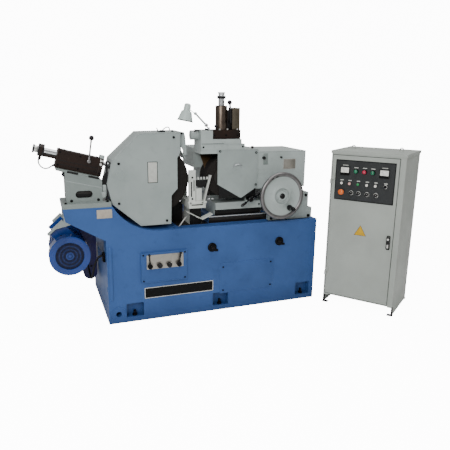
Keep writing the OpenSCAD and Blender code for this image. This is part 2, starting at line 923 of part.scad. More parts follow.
// Head that carries the grinding spindle on its pad
module grinding_head() machine() color(cover_grey) difference() {
    union() {
        block(grind_x - head_l / 2, grind_x + head_l / 2, seat_d, head_end,
            pad_z, pad_z + head_foot_h);
        block(grind_x - neck_w / 2, grind_x + neck_w / 2, seat_d, head_end,
            pad_z, wheel_z);
        rod_y(grind_x, seat_d, wheel_z, barrel_r, head_d);
    }
    rod_y(grind_x, seat_d - over, wheel_z, spindle_r + tunnel_gap, head_d + 2 * over);
    rod_y(grind_x, seat_d - over, wheel_z, bearing_r, bearing_w + over);
    rod_y(grind_x, head_end - bearing_w, wheel_z, bearing_r, bearing_w + over);
}
module spindle_bearings() machine() color(steel)
    for (y = [seat_d, head_end - bearing_w]) difference() {
        rod_y(grind_x, y, wheel_z, bearing_r, bearing_w);
        rod_y(grind_x, y - over, wheel_z, spindle_r + run_gap, bearing_w + 2 * over);
    }

// Housing round the grinding wheel, open towards the work
module flap_lug(y) {
    rod_y(flap_x, y, flap_z, flap_lug_r, flap_lug_w);
    block(guard_x + guard_w - flap_lug_r, flap_x, y, y + flap_lug_w,
        flap_z - flap_lug_r, flap_z + flap_lug_r);
}
module wheel_guard() machine() color(cover_grey) difference() {
    union() {
        difference() {
            across(guard_back, seat_d) polygon(guard_outline(0));
            across(guard_back - over, seat_d - guard_wall)
                polygon(guard_outline(guard_wall));
            rod_y(grind_x, seat_d - guard_wall - over, wheel_z,
                spindle_r + tunnel_gap, guard_wall + 2 * over);
            block(grind_x + flange_r / 2, guard_x + guard_w + over, guard_back - over,
                wheel_end + port_gap, wheel_z - work_down, wheel_z + work_up);
            dresser_frame() translate([body_end_s, -port_w / 2, -port_h / 2])
                cube([nose_l, port_w, port_h]);
        }
        flap_lug(flap_y - slide_gap - flap_lug_w);
        flap_lug(flap_y + flap_w + slide_gap);
    }
    rod_y(flap_x, guard_back, flap_z, flap_pin_r + run_gap, flap_w * 2);
}
module guard_cover() machine() color(cover_grey) {
    across(guard_y, guard_back) polygon(guard_outline(0));
    rod_y(disc_x, guard_y - guard_disc_t, disc_z, guard_disc_r, guard_disc_t);
}
module cover_screws() machine() color(black)
    for (s = guard_screw_shares)
        rod_y(guard_x + s[0] * guard_w, guard_y - screw_t, guard_z + s[1] * guard_h,
            screw_r, screw_t);
module splash_flap() machine() color(cover_grey) {
    rod_y(flap_x, flap_y - flap_lug_w, flap_z, flap_pin_r, flap_w + 2 * flap_lug_w);
    rod_y(flap_x, flap_y, flap_z, flap_lug_r, flap_w);
    across(flap_y, flap_y + flap_w) polygon([
        [flap_x - flap_t / 2, flap_z], [flap_x - flap_t / 2, flap_z - flap_l * 2/3],
        [flap_x + flap_l * 1/6, flap_z - flap_l],
        [flap_x + flap_l * 1/6 + flap_t, flap_z - flap_l],
        [flap_x + flap_t / 2, flap_z - flap_l * 2/3 + flap_t],
        [flap_x + flap_t / 2, flap_z]]);
}

// Grinding wheel and its spindle with flanges and pulley
module grinding_wheel() machine() color(abrasive) difference() {
    rod_y(grind_x, wheel_y, wheel_z, grind_r, wheel_w);
    rod_y(grind_x, wheel_y - over, wheel_z, grind_bore_r, wheel_w + 2 * over);
}
module grinding_spindle() machine() color(steel) {
    rod_y(grind_x, wheel_y - flange_t, wheel_z, spindle_r,
        belt_y + pulley_w - wheel_y + flange_t);
    rod_y(grind_x, wheel_y, wheel_z, grind_bore_r, wheel_w);
    for (y = [wheel_y - flange_t, wheel_end]) rod_y(grind_x, y, wheel_z, flange_r, flange_t);
    pulley(grind_x, wheel_z, spindle_pulley_r);
}
module pulley(x, z, r) difference() {
    rod_y(x, belt_y, z, r, pulley_w);
    for (i = [0:belt_n - 1]) difference() {
        rod_y(x, belt_y + (i + 1/2) * belt_pitch - belt_w / 2 - bolt_gap, z,
            r + over, belt_w + 2 * bolt_gap);
        rod_y(x, belt_y, z, r - belt_t - slide_gap, pulley_w);
    }
}
// Belts as straight runs between round ends, a hair outside the grooves' floor
module belt_loop(grow) {
    r1 = motor_pulley_r - belt_t + grow;
    r2 = spindle_pulley_r - belt_t + grow;
    lift = asin((r2 - r1) / belt_span);
    a = belt_angle + lift;
    b = belt_angle - lift;
    polygon(concat(
        arc(grind_x, wheel_z, r2, b - 90, a + 90, 24),
        arc(-motor_x, motor_z, r1, a + 90, b + 270, 24)));
}
module drive_belts() machine() color(black) for (i = [0:belt_n - 1])
    across(belt_y + (i + 1/2) * belt_pitch - belt_w / 2,
        belt_y + (i + 1/2) * belt_pitch + belt_w / 2)
        difference() {
            belt_loop(belt_t);
            belt_loop(0);
        }
module belt_shell(inset, y0, y1) {
    r = belt_guard_r - inset;
    x0 = -motor_x + belt_guard_r;
    lobe = (-x0 - leg_gap) / 2;
    across(y0, y1) {
        polygon(concat(
            arc(grind_x, wheel_z, r, belt_angle - 90, belt_angle + 90, 16),
            arc(-motor_x, motor_z, r, belt_angle + 90, belt_angle + 270, 16)));
        polygon(concat(arc(-leg_gap - lobe, lobe_z, lobe - inset, 180, 360, 12),
            arc(-leg_gap - lobe, motor_z + lobe / 2, lobe - inset, 0, 180, 12)));
    }
}
module belt_guard() machine() color(navy) difference() {
    belt_shell(0, head_end, head_end + belt_guard_d);
    belt_shell(belt_guard_t, head_end + belt_guard_t,
        head_end + belt_guard_d - belt_guard_t);
    rod_y(grind_x, head_end - over, wheel_z, spindle_r + tunnel_gap, belt_guard_t + 2 * over);
    rod_y(-motor_x, head_end - over, motor_z, motor_shaft_r + tunnel_gap,
        belt_guard_t + 2 * over);
}

// Drive motor
module motor_frame() machine() color(motor_blue) difference() {
    union() {
        rod_y(-motor_x, frame_y, motor_z, motor_r, motor_l);
        rod_y(-motor_x, shield_y, motor_z, motor_r, shield_l);
        rod_y(-motor_x, frame_y - fin_h, motor_z, fan_cover_r - guard_wall, fin_h + over);
        for (i = [0:fin_n - 1]) translate([-motor_x, frame_y + fin_h, motor_z])
            rotate([0, i * 360 / fin_n, 0]) translate([-fin_t / 2, 0, 0])
                cube([fin_t, motor_l - 2 * fin_h, motor_r + fin_h]);
        motor_tilt() for (y = [frame_y + motor_foot_in, shield_y - motor_foot_in - foot_pad])
            translate([0, y, 0]) cube([foot_span, foot_pad, motor_foot]);
        block(box_x - box_w, box_x, box_y, box_y + box_w, box_z, motor_z - motor_r / 2);
    }
    rod_y(-motor_x, frame_y + shield_l, motor_z, motor_r - motor_wall, motor_l - shield_l);
    rod_y(-motor_x, frame_y - fin_h - over, motor_z, motor_shaft_r + run_gap,
        fin_h + motor_l + shield_l + 2 * over);
}
// Frame whose +Z runs from the motor's axis square to its mounting plate
module motor_tilt() translate([-motor_x, 0, motor_z]) rotate([0, -mount_turn, 0]) children();
module motor_fan_cover() machine() color(motor_blue) {
    difference() {
        rod_y(-motor_x, motor_y, motor_z, fan_cover_r, fan_cover_l);
        rod_y(-motor_x, motor_y + guard_wall, motor_z, fan_cover_r - guard_wall, fan_cover_l);
        rod_y(-motor_x, motor_y - over, motor_z, grille_r, guard_wall + 2 * over);
    }
    for (k = [1:3]) difference() {
        rod_y(-motor_x, motor_y, motor_z, grille_r * k / 4 + belt_guard_t, guard_wall);
        rod_y(-motor_x, motor_y - over, motor_z, grille_r * k / 4 - belt_guard_t,
            guard_wall + 2 * over);
    }
    for (a = [22.5:45:157.5]) translate([-motor_x, motor_y, motor_z]) rotate([0, a, 0])
        translate([-grille_r - belt_guard_t, guard_wall / 4, -belt_guard_t / 2])
            cube([2 * grille_r + 2 * belt_guard_t, guard_wall / 2, belt_guard_t]);
}
module motor_rotor() machine() color(steel) {
    rod_y(-motor_x, motor_y + fan_in, motor_z, motor_shaft_r,
        belt_y + pulley_w - motor_y - fan_in);
    rod_y(-motor_x, motor_y + fan_in, motor_z, fan_r, fan_cover_l / 4);
    rod_y(-motor_x, frame_y + motor_wall, motor_z, motor_r - motor_wall - free_gap,
        motor_l - 2 * motor_wall);
    pulley(-motor_x, motor_z, motor_pulley_r);
}
module motor_plate() machine() color(steel) {
    motor_tilt() for (k = [0, 1])
        translate([k * foot_span / 2 - mount_down, frame_y + mount_in + k * (mount_l - mount_d),
            motor_foot]) cube([mount_h - k * foot_span / 2, mount_d, mount_t]);
    for (y = [frame_y + mount_in, frame_y + mount_in + mount_l - mount_d])
        across(y, y + mount_t) polygon([shelf_corner, gusset_foot,
            [-motor_x + gusset_l * cos(mount_turn) - motor_foot * sin(mount_turn),
             motor_z + gusset_l * sin(mount_turn) + motor_foot * cos(mount_turn)],
            [-motor_x + (mount_h - mount_down) * cos(mount_turn)
                - motor_foot * sin(mount_turn),
             motor_z + (mount_h - mount_down) * sin(mount_turn)
                + motor_foot * cos(mount_turn)]]);
}
// The motor's conduit with the box it leaves on the leg
module motor_conduit() machine() color(black) {
    tube_along(conduit_points, conduit_r, 10, [0, 1, 0.1]);
    block(-leg_box_t, 0, conduit_points[0][1] - leg_box_w / 2,
        conduit_points[0][1] + leg_box_w / 2, conduit_points[0][2] - leg_box_h * 2/3,
        conduit_points[0][2] + leg_box_h / 3);
}

// Wheel dresser: its own frame starts at the collar, +X down along the quill
module dresser_frame() translate([-dresser_x, dresser_y, dresser_z])
    rotate([0, dresser_tilt, 0]) children();
module rod_s(s, r, l) { rotate([0, 90, 0]) translate([0, 0, s]) cylinder(r = r, h = l); }
module dresser_bracket() machine() color(cover_grey) difference() {
    union() {
        block(-shelf_over, bracket_end, dresser_y - bracket_base_d / 2,
            dresser_y + bracket_base_d / 2, shelf_z, base_z);
        across(dresser_y - bracket_d / 2, dresser_y + bracket_d / 2) bracket_side(0);
        dresser_frame()
            translate([body_s + bracket_in, flap_t - bracket_d / 2, -slide_face - rail_t])
            cube([dresser_l - 2 * bracket_in, bracket_d - 2 * flap_t, rail_t]);
    }
    across(dresser_y - bracket_d / 2 + bracket_web, dresser_y + bracket_d / 2 + over)
        bracket_side(bracket_web);
    across(dresser_y - bracket_d / 2 - over, dresser_y)
        polygon(concat(arc(window_x, window_z + window_h / 2, window_h / 2, 90, 270, 16),
            arc(window_x + window_l - window_h, window_z + window_h / 2, window_h / 2, -90, 90, 16)));
}
function rail_z(x) = dresser_z - (x + dresser_x) * tan(dresser_tilt)
    - slide_face / cos(dresser_tilt) - rail_t;
module bracket_side(inset) polygon([[bracket_x + inset, base_z - over + inset],
    [bracket_x + inset, rail_z(bracket_x) - inset],
    [bracket_x + bracket_l - inset, rail_z(bracket_x + bracket_l) - inset],
    [bracket_x + bracket_l - inset, base_z - over + inset]]);
module dresser_barrel() machine() dresser_frame() color(dark_brown) difference() {
    union() {
        translate([body_s, -dresser_w / 2, -dresser_down])
            cube([dresser_l, dresser_w, dresser_down + dresser_up]);
        rod_s(-collar_t / 2, collar_r, collar_t);
        translate([-collar_t / 2, -bar_w / 2, -quill_r - free_gap - bar_t])
            cube([body_s + collar_t, bar_w, bar_t]);
        translate([0, 0, hose_points[0][2] + hose_r / 2]) cylinder(r = fitting_r, h = collar_r);
    }
    rod_s(body_s - over, quill_r + run_gap, dresser_l + 2 * over);
    rod_s(-collar_t, feed_screw_r + run_gap, collar_t * 2);
    translate([lever_s, -dresser_w / 2 - over, 0]) rotate([-90, 0, 0])
        cylinder(r = lever_pin_r + run_gap, h = lever_pin_l + 2 * over);
}
module dresser_quill() machine() dresser_frame() color(steel) difference() {
    union() {
        rod_s(quill_s, quill_r, body_end_s - quill_s);
        rod_s(body_end_s - over, nose_r, nose_l + over);
        translate([body_end_s + nose_l, 0, 0]) rotate([0, 90, 0])
            cylinder(r1 = nose_r, r2 = nose_r / 4, h = nose_r);
    }
    rod_s(quill_s - over, feed_screw_r + run_gap, quill_show * 2);
}
module dresser_knob() machine() dresser_frame() color(steel) {
    rod_s(-collar_t / 2 - slide_gap - feed_knob_l, feed_knob_r, feed_knob_l / 3);
    rod_s(-collar_t / 2 - slide_gap - feed_knob_l, feed_knob_r * 3/4, feed_knob_l);
    rod_s(-collar_t / 2 - slide_gap - over, feed_screw_r, collar_t + quill_show);
}
module ball_lever(lean, l) rotate([0, lean, 0]) {
    cylinder(r = ball_lever_r, h = l);
    translate([0, 0, l]) sphere(ball_r);
}
module dresser_lever() machine() dresser_frame() color(steel)
    translate([lever_s, -dresser_w / 2 - slide_gap - lever_hub_t, 0]) {
        rotate([-90, 0, 0]) cylinder(r = lever_hub_r * 2/3, h = lever_hub_t);
        rotate([-90, 0, 0]) cylinder(r = lever_pin_r, h = lever_hub_t + lever_pin_l);
        translate([0, lever_hub_t / 2, 0])
            ball_lever(lever_lean - dresser_tilt, ball_lever_l);
    }
module dresser_hose() machine() dresser_frame() color(cover_grey)
    tube_along(hose_points, hose_r, 10, [0, 1, 0]);

// Work rest between the wheels
module work_rest() machine() color(steel) difference() {
    union() {
        block(rest_x, rest_x + rest_l, rest_y, rest_y + rest_d, rest_z - rest_t, rest_z);
        block(rest_x + post_t, rest_x + rest_l - post_t * 3/4, way_y, rest_y + rest_d,
            bed_h, rest_z);
        block(rest_x, rest_x + post_w, rest_y, rest_y + post_t, rest_z, rest_z + post_h);
        block(rest_x, rest_x + post_w, rest_y + rest_d - post_t, rest_y + rest_d,
            rest_z, rest_z + post_h * 3/4);
        across(rest_y, rest_y + post_t) polygon([
            [rest_x + rest_l - 2 * guide_t, rest_z - over],
            [rest_x + rest_l - guide_t, rest_z - over],
            [rest_x + rest_l - guide_t + guide_h * tan(guide_lean), rest_z + guide_h],
            [rest_x + rest_l - 2 * guide_t + guide_h * tan(guide_lean), rest_z + guide_h]]);
        across(rest_y + guide_t, rest_y + post_t - guide_t / 2) difference() {
            translate([cup_x, cup_z]) circle(cup_r);
            translate([cup_x - 2 * cup_r, cup_z]) square(4 * cup_r);
        }
        across(rest_y, way_y + over) tray_side();
    }
    block(blade_x - blade_t / 2, blade_x + blade_t / 2, blade_y, blade_y + blade_l,
        rest_z - rest_t / 2, rest_z + over);
}
module tray_side() {
    x0 = rest_x - tray_l * 0.07;
    x1 = x0 + tray_l * 0.56;
    z1 = rest_z - rest_t - tray_l * 0.42;
    polygon([[x0, z1 + tray_l * 0.3], [x1, z1], [x0 + tray_l * 0.93, z1 + tray_l * 0.16],
        [x0 + tray_l * 0.93, z1 + tray_l * 0.16 + tray_t], [x1, z1 + tray_t],
        [x0, z1 + tray_l * 0.3 + tray_t]]);
}
module work_blade() machine() color(steel)
    across(blade_y, blade_y + blade_l) polygon([
        [blade_x - blade_t / 2, rest_z - rest_t / 2],
        [blade_x + blade_t / 2, rest_z - rest_t / 2],
        [blade_x + blade_t / 2, wheel_z - blade_drop - blade_t * tan(30)],
        [blade_x - blade_t / 2, wheel_z - blade_drop]]);

// Feed slide with the boss of its clamp
module feed_slide() machine() color(cover_grey) difference() {
    union() {
        block(slide_x, slide_x + slide_l, slide_y, slide_y + slide_d,
            slide_top - slab_t, slide_top);
        block(slide_x, slide_x + slide_l, slide_y + slab_t / 2,
            slide_y + slide_d - slab_t / 2, way_z + slide_gap, slide_top);
        block(clamp_x - clamp_r - free_gap, clamp_x + clamp_r + free_gap, slide_y,
            slide_y + clamp_r * 2, slide_top - over, clamp_z);
        rod_y(clamp_x, slide_y, clamp_z, clamp_r + free_gap, clamp_r * 2);
    }
    rod_x(slide_x + slide_l - nut_l, screw_y, screw_z, lead_r + run_gap, nut_l + over);
    rod_y(clamp_x, slide_y - over, clamp_z, lever_pin_r + run_gap, lever_pin_l + 2 * over);
}
module clamp_lever() machine() color(black) {
    rod_y(clamp_x, slide_y - slide_gap - clamp_hub_t, clamp_z, clamp_r, clamp_hub_t);
    rod_y(clamp_x, slide_y - slide_gap - over, clamp_z, lever_pin_r, lever_pin_l);
    translate([clamp_x, slide_y - clamp_hub_t + lever_rod_r, clamp_z])
        for (a = [clamp_lean, clamp_lean + 180]) rotate([0, a, 0]) {
            cylinder(r = lever_rod_r, h = clamp_l);
            translate([0, 0, clamp_l * 1/2]) cylinder(r = lever_rod_r * 2, h = clamp_l / 2);
        }
}

// Regulating head: spindle housing, hood over the wheel and drive box
head_shares = [[0.3, 0], [1, 0], [1, 1], [0, 1], [0, 0.68], [0.196, 0.68],
    [0.196, 0.18], [0.3, 0.08]];
module regulating_head() machine() color(cover_grey) difference() {
    union() {
        across(body_y, body_y + body_d) polygon([for (s = head_shares)
            [hood_x + s[0] * hood_l, slide_top + s[1] * (hood_z - hood_t - slide_top)]]);
        block(hood_x, hood_end, hood_y + cover_t, body_y + body_d, hood_z - hood_t, hood_z);
        block(hood_end - hood_wall, hood_end, hood_y + cover_t, body_y, drive_z, hood_z);
        block(hood_end, drive_end, hood_y, body_y + body_d * 3/4, drive_z,
            hood_z - drive_wall);
    }
    block(hood_end + drive_wall, drive_end - drive_wall, hood_y + drive_wall,
        body_y + body_d * 3/4 - drive_wall, drive_z + drive_wall, hood_z - 2 * drive_wall);
    rod_y(reg_x, body_y - over, wheel_z, reg_spindle_r + run_gap, body_d + 2 * over);
    block(reg_x - slot_w / 2, reg_x + slot_w / 2, top_quill_y - slot_l / 2,
        top_quill_y + slot_l / 2, hood_z - hood_t - over, hood_z + over);
}
module regulating_cover() machine() color(cover_grey) {
    across(hood_y, hood_y + cover_t) polygon([for (s = cover_shares)
        [hood_end - cover_w + s[0] * cover_w, hood_z - cover_h + s[1] * cover_h]]);
    for (s = cover_screw_shares)
        rod_y(hood_end - cover_w + s[0] * cover_w, hood_y - screw_t,
            hood_z - cover_h + s[1] * cover_h, screw_r, screw_t + over);
}
module regulating_wheel() machine() color(abrasive) difference() {
    rod_y(reg_x, wheel_y, wheel_z, reg_r, wheel_w);
    rod_y(reg_x, wheel_y - over, wheel_z, reg_bore_r, wheel_w + 2 * over);
}
module regulating_spindle() machine() color(steel) {
    rod_y(reg_x, wheel_y - reg_flange_t, wheel_z, reg_spindle_r,
        body_y + body_d - wheel_y);
    rod_y(reg_x, wheel_y, wheel_z, reg_bore_r, wheel_w);
    for (y = [wheel_y - reg_flange_t, wheel_end])
        rod_y(reg_x, y, wheel_z, reg_r * 0.55, reg_flange_t);
}

// Infeed box, its screw and the handwheel
module infeed_box() machine() color(cover_grey) difference() {
    union() {
        block(infeed_x, infeed_x + infeed_l, infeed_y, infeed_y + infeed_d,
            bed_h, bed_h + infeed_foot_h);
        block(infeed_x, infeed_x + infeed_l - infeed_step, infeed_y, infeed_y + infeed_d,
            bed_h, bed_h + infeed_h);
        rod_y(hand_x, infeed_y, hand_z, dome_r, screw_y - infeed_y + gear_w);
        rod_y(hand_x, -nose_out, hand_z, dome_r * 3/4, nose_out + infeed_y + over);
    }
    block(hand_x - gear_w, hand_x + gear_w, screw_y - big_gear_r - gear_w / 4,
        screw_y + big_gear_r + gear_w / 4, screw_z - big_gear_r - gear_w / 4,
        screw_z + big_gear_r + gear_w / 4);
    rod_y(hand_x, screw_y - gear_w * 3/4, hand_z, small_gear_r + gear_w / 8, gear_w * 3/2);
    rod_y(hand_x, -nose_out - over, hand_z, hand_shaft_r + run_gap,
        screw_y + nose_out);
    rod_x(infeed_x - over, screw_y, screw_z, lead_r + run_gap, screw_end + 2 * over);
}
module infeed_screw() machine() color(steel) {
    rod_x(infeed_x - screw_out, screw_y, screw_z, lead_r, screw_out + screw_end);
    rod_x(hand_x - gear_w / 2, screw_y, screw_z, big_gear_r, gear_w);
}
module handwheel() machine() color(cover_grey) {
    difference() {
        rod_y(hand_x, -hand_y, hand_z, hand_r, rim_t);
        rod_y(hand_x, -hand_y - over, hand_z, hand_r - rim_w, rim_t / 2 + over);
        rod_y(hand_x, -hand_y + rim_t * 3/4, hand_z, hand_r - rim_w, rim_t);
    }
    rod_y(hand_x, -hand_y + hub_in, hand_z, hand_r * 0.27, hand_y - nose_out - hub_in - slide_gap);
    rod_y(hand_x, -hand_y, hand_z, hand_shaft_r, hand_y + screw_y + gear_w / 2);
    rod_y(hand_x, screw_y - gear_w / 2, hand_z, small_gear_r, gear_w);
    rod_y(grip_x, -hand_y - grip_l * 1/2, grip_z, grip_pin_r, grip_l * 1/2 + rim_t / 2 + over);
}
module handwheel_grip() machine() color(black) difference() {
    union() {
        rod_y(grip_x, -hand_y + rim_t / 2 - slide_gap - grip_l / 3, grip_z, grip_r, grip_l / 3);
        translate([grip_x, -hand_y + rim_t / 2 - slide_gap - grip_l / 3, grip_z])
            rotate([90, 0, 0]) cylinder(r1 = grip_r, r2 = grip_r * 0.6, h = grip_l * 2/3);
    }
    rod_y(grip_x, -hand_y - grip_l * 1/2 - bolt_gap, grip_z, grip_pin_r + run_gap,
        grip_l * 1/2 + rim_t);
}

// Top dresser over the regulating wheel
module top_dresser_base() machine() color(cover_grey) difference() {
    union() {
        block(top_base_x, top_base_x + top_base_l, top_base_y, top_base_y + top_base_d,
            top_z, top_z + top_base_t);
        block(top_base_x, top_base_x + top_base_l - top_step, top_base_y,
            top_base_y + top_base_d, top_z, top_step_z);
        block(top_base_x, top_base_x + top_block_l, top_base_y, top_base_y + top_base_d,
            top_z, lamp_z);
        rod_x(top_base_x - stub_l, top_base_y + top_base_d / 2, lamp_z - stub_r - free_gap,
            stub_r, stub_l + over);
    }
    block(reg_x - slot_w / 2, reg_x + slot_w / 2, top_quill_y - slot_l / 2,
        top_quill_y + slot_l / 2, top_z - over, lamp_z + over);
    translate([lamp_x, lamp_y, lamp_z - lamp_pin_l - over])
        cylinder(r = lamp_pin_r + run_gap, h = lamp_pin_l + 2 * over);
}
module top_dresser_body() machine() color(dark_brown) difference() {
    union() {
        block(top_base_x + top_block_l + free_gap, top_base_x + top_block_l + free_gap
            + top_slide_l, top_slide_y, top_slide_y + top_slide_d, top_slide_z, column_z);
        translate([reg_x, top_quill_y, column_z - over])
            cylinder(r = column_w / 2, h = column_h + over);
        block(side_column_x, side_column_x + side_column_w, top_quill_y - column_w / 2,
            top_quill_y + column_w / 2, column_z - over, column_z + side_column_h);
        block(reg_x, side_column_x + over, top_quill_y - column_w / 4,
            top_quill_y + column_w / 2, column_z - over, column_z + side_column_h * 0.9);
    }
    translate([reg_x, top_quill_y, top_slide_z - over])
        cylinder(r = top_quill_r + run_gap, h = column_h * 2);
    rod_y(top_lever_x, top_slide_y, top_lever_z, lever_pin_r + run_gap,
        top_slide_d / 2);
}
module top_dresser_quill() machine() color(steel) translate([reg_x, top_quill_y, 0]) {
    translate([0, 0, column_z]) cylinder(r = top_quill_r, h = column_h + top_quill_show);
    translate([0, 0, wheel_z + reg_r + top_diamond_gap + nose_r])
        cylinder(r = nose_r, h = column_z - wheel_z - reg_r - top_diamond_gap);
    translate([0, 0, wheel_z + reg_r + top_diamond_gap])
        cylinder(r1 = nose_r / 4, r2 = nose_r, h = nose_r);
    translate([0, 0, column_z + column_h + top_quill_show - over])
        cylinder(r = top_knob_r, h = top_knob_h / 3);
    translate([0, 0, column_z + column_h + top_quill_show])
        cylinder(r1 = top_knob_r * 0.6, r2 = top_knob_r * 0.85, h = top_knob_h);
}
module top_dresser_lever() machine() color(steel)
    translate([top_lever_x, top_slide_y - slide_gap, top_lever_z]) {
        rotate([-90, 0, 0]) cylinder(r = clamp_r / 2, h = top_hub_l);
        rotate([-90, 0, 0]) cylinder(r = lever_pin_r, h = top_hub_l + lever_pin_l / 2);
        translate([0, ball_lever_r * 1.3, 0]) ball_lever(-3, top_lever_l);
    }

// Lamp on a swinging arm
module lamp_arm() machine() color(steel) difference() {
    union() {
        translate([lamp_x, lamp_y, lamp_z - lamp_pin_l]) cylinder(r = lamp_pin_r, h = lamp_pin_l * 2);
        translate([lamp_x, lamp_y, lamp_z + slide_gap]) cylinder(r = knuckle_r, h = knuckle_r / 2);
        translate([lamp_x, lamp_y, lamp_z + slide_gap]) rotate([0, -lamp_low_lean, 0])
            cylinder(r = lamp_rod_r, h = lamp_low_l);
        translate([elbow_x, lamp_y - knuckle_r, elbow_z]) rotate([-90, 0, 0])
            cylinder(r = knuckle_r, h = 2 * knuckle_r);
        translate([elbow_x, lamp_y, elbow_z]) rotate([0, lamp_angle - 90, 0])
            cylinder(r = lamp_rod_r, h = lamp_arm_l);
        translate([joint_x, lamp_y - knuckle_r / 2, joint_z]) rotate([-90, 0, 0])
            cylinder(r = knuckle_r, h = knuckle_r);
    }
    translate([joint_x, lamp_y - knuckle_r, joint_z]) rotate([-90, 0, 0])
        cylinder(r = lamp_rod_r * 0.8 + run_gap, h = 2 * knuckle_r);
}
shade_shares = [[0.22, 1], [0.27, 0.94], [0.3, 0.66], [0.66, 0.56], [1, 0]];
module lamp_shade() machine() color(cover_grey) {
    translate([joint_x, lamp_y - knuckle_r / 2 - slide_gap - knuckle_r / 2, joint_z])
        rotate([-90, 0, 0]) cylinder(r = lamp_rod_r * 0.8, h = knuckle_r * 2);
    translate([joint_x, lamp_y + knuckle_r / 2 + slide_gap, joint_z]) rotate([-90, 0, 0])
        cylinder(r = knuckle_r, h = knuckle_r / 2);
    translate([joint_x, lamp_y + knuckle_r * 3/4 + slide_gap, joint_z])
        rotate([0, -stem_lean, 0]) cylinder(r = knuckle_r / 4, h = stem_l);
    translate([shade_x, lamp_y, shade_z]) rotate([0, shade_lean, 0]) rotate_extrude()
        polygon(concat([[0, shade_h]], [for (s = shade_shares) [s[0] * shade_r, s[1] * shade_h]],
            [for (i = [4:-1:1]) [shade_shares[i][0] * shade_r - shade_wall,
                shade_shares[i][1] * shade_h - (i == 4 ? 0 : shade_wall)]],
            [[0, shade_h * 0.9]]));
}

// Cabinet, in its own frame: +X along the front, +Y into the cabinet
module cabinet() translate([bed_l / 2 + cab_gap, -bed_d / 2 - cab_front, 0])
    rotate([0, 0, cab_turn]) children();
module cabinet_shell() cabinet() color(cabinet_grey) {
    difference() {
        union() {
            block(0, cab_w, 0, cab_d, cab_foot_h, cab_h - roof_h + over);
            block(-roof_over, cab_w + roof_over, -door_face, cab_d + roof_over,
                cab_h - roof_h, cab_h);
        }
        block(cab_sheet, cab_w - cab_sheet, cab_sheet, cab_d - cab_sheet,
            cab_foot_h + cab_sheet, cab_h - roof_h - cab_sheet);
        block(door_x, door_x + door_w + 2 * door_gap, -over, cab_sheet + over,
            door_z - door_gap, door_z + door_h + door_gap);
    }
    for (x = [0, cab_w - cab_foot_t]) block(x, x + cab_foot_t, 0, cab_d, 0, cab_foot_h);
    for (x = [0, cab_w - cab_foot_w])
        block(x, x + cab_foot_w, 0, cab_d, cab_foot_h - cab_foot_t, cab_foot_h);
    for (x = [cab_w / 6, cab_w * 5/6]) translate([x, cab_d / 2, cab_h + eye_r])
        rotate([90, 0, 0]) rotate_extrude() translate([eye_r, 0]) circle(eye_bar_r, $fn = 16);
    for (z = hinge_places) {
        translate([door_x, -hinge_y, z - hinge_l]) cylinder(r = hinge_r, h = hinge_l);
        translate([door_x, -hinge_y, z - over]) cylinder(r = hinge_pin_r, h = hinge_l + over);
        block(0, door_x, -hinge_y, over, z - hinge_l, z);
    }
    block(cab_foot_w, cab_w - cab_foot_w, cab_d - cab_foot_w, cab_d - cab_foot_w + cab_foot_t,
        cab_foot_h + cab_sheet - over, cab_h - roof_h - cab_sheet + over);
}
module cabinet_door() cabinet() color(cabinet_grey) difference() {
    union() {
        difference() {
            block(door_x + door_gap, door_x + door_gap + door_w, -door_face,
                door_t - door_face, door_z, door_z + door_h);
            block(door_x + door_gap + cab_sheet, door_x + door_gap + door_w - cab_sheet,
                cab_sheet - door_face, door_t - door_face + over,
                door_z + cab_sheet, door_z + door_h - cab_sheet);
        }
        for (z = hinge_places) {
            translate([door_x, -hinge_y, z + slide_gap]) cylinder(r = hinge_r, h = hinge_l);
            block(door_x, door_x + 3 * hinge_r, -hinge_y, over - door_face,
                z + slide_gap, z + slide_gap + hinge_l);
        }
    }
    for (z = hinge_places) translate([door_x, -hinge_y, z])
        cylinder(r = hinge_pin_r + run_gap, h = hinge_l * 2);
    for (p = plunger_places) rod_y(p[0], -door_face - over, p[1],
        plunger_r + free_gap, cab_sheet + 2 * over);
    rod_y(handle_x, -door_face - over, handle_hub_z, handle_shaft_r + run_gap,
        cab_sheet + 2 * over);
}
function place(u, v) = [plate_x + u * plate_w, plate_z + v * plate_h];
module control_panel() cabinet() difference() {
    union() {
        color(black) block(plate_x, plate_x + plate_w, -plate_face, -door_face,
            plate_z, plate_z + plate_h);
        for (u = meter_shares) let (p = place(u, top_row_share))
            color(black) block(p[0] - meter_w / 2, p[0] + meter_w / 2,
                -plate_face - meter_t, -plate_face, p[1] - meter_h / 2, p[1] + meter_h / 2);
        for (u = lamp_shares) let (p = place(u, top_row_share))
            color(motor_blue) rod_y(p[0], -plate_face - signal_h, p[1], signal_r, signal_h);
        for (p = plunger_places)
            color(steel) rod_y(p[0], -plate_face - bezel_h, p[1], bezel_r, bezel_h);
        let (p = place(lock_share, button_row_share))
            color(steel) rod_y(p[0], -plate_face - bezel_h * 2, p[1], bezel_r * 2/3, bezel_h * 2);
    }
    for (p = plunger_places) {
        rod_y(p[0], -plate_face - bezel_h - over, p[1], plunger_r + run_gap,
            plate_t + bezel_h + 2 * over);
        rod_y(p[0], -plate_face - bezel_h - over, p[1], button_r + bolt_gap, bezel_h + over);
    }
}
module door_handle() cabinet() color(black) {
    rod_y(handle_x, -door_face - slide_gap - over, handle_hub_z, handle_shaft_r,
        door_t * 3/4);
    block(handle_x - handle_w / 2, handle_x + handle_w / 2, -door_face - slide_gap - handle_t,
        -door_face - slide_gap, handle_z, handle_z + handle_l);
}
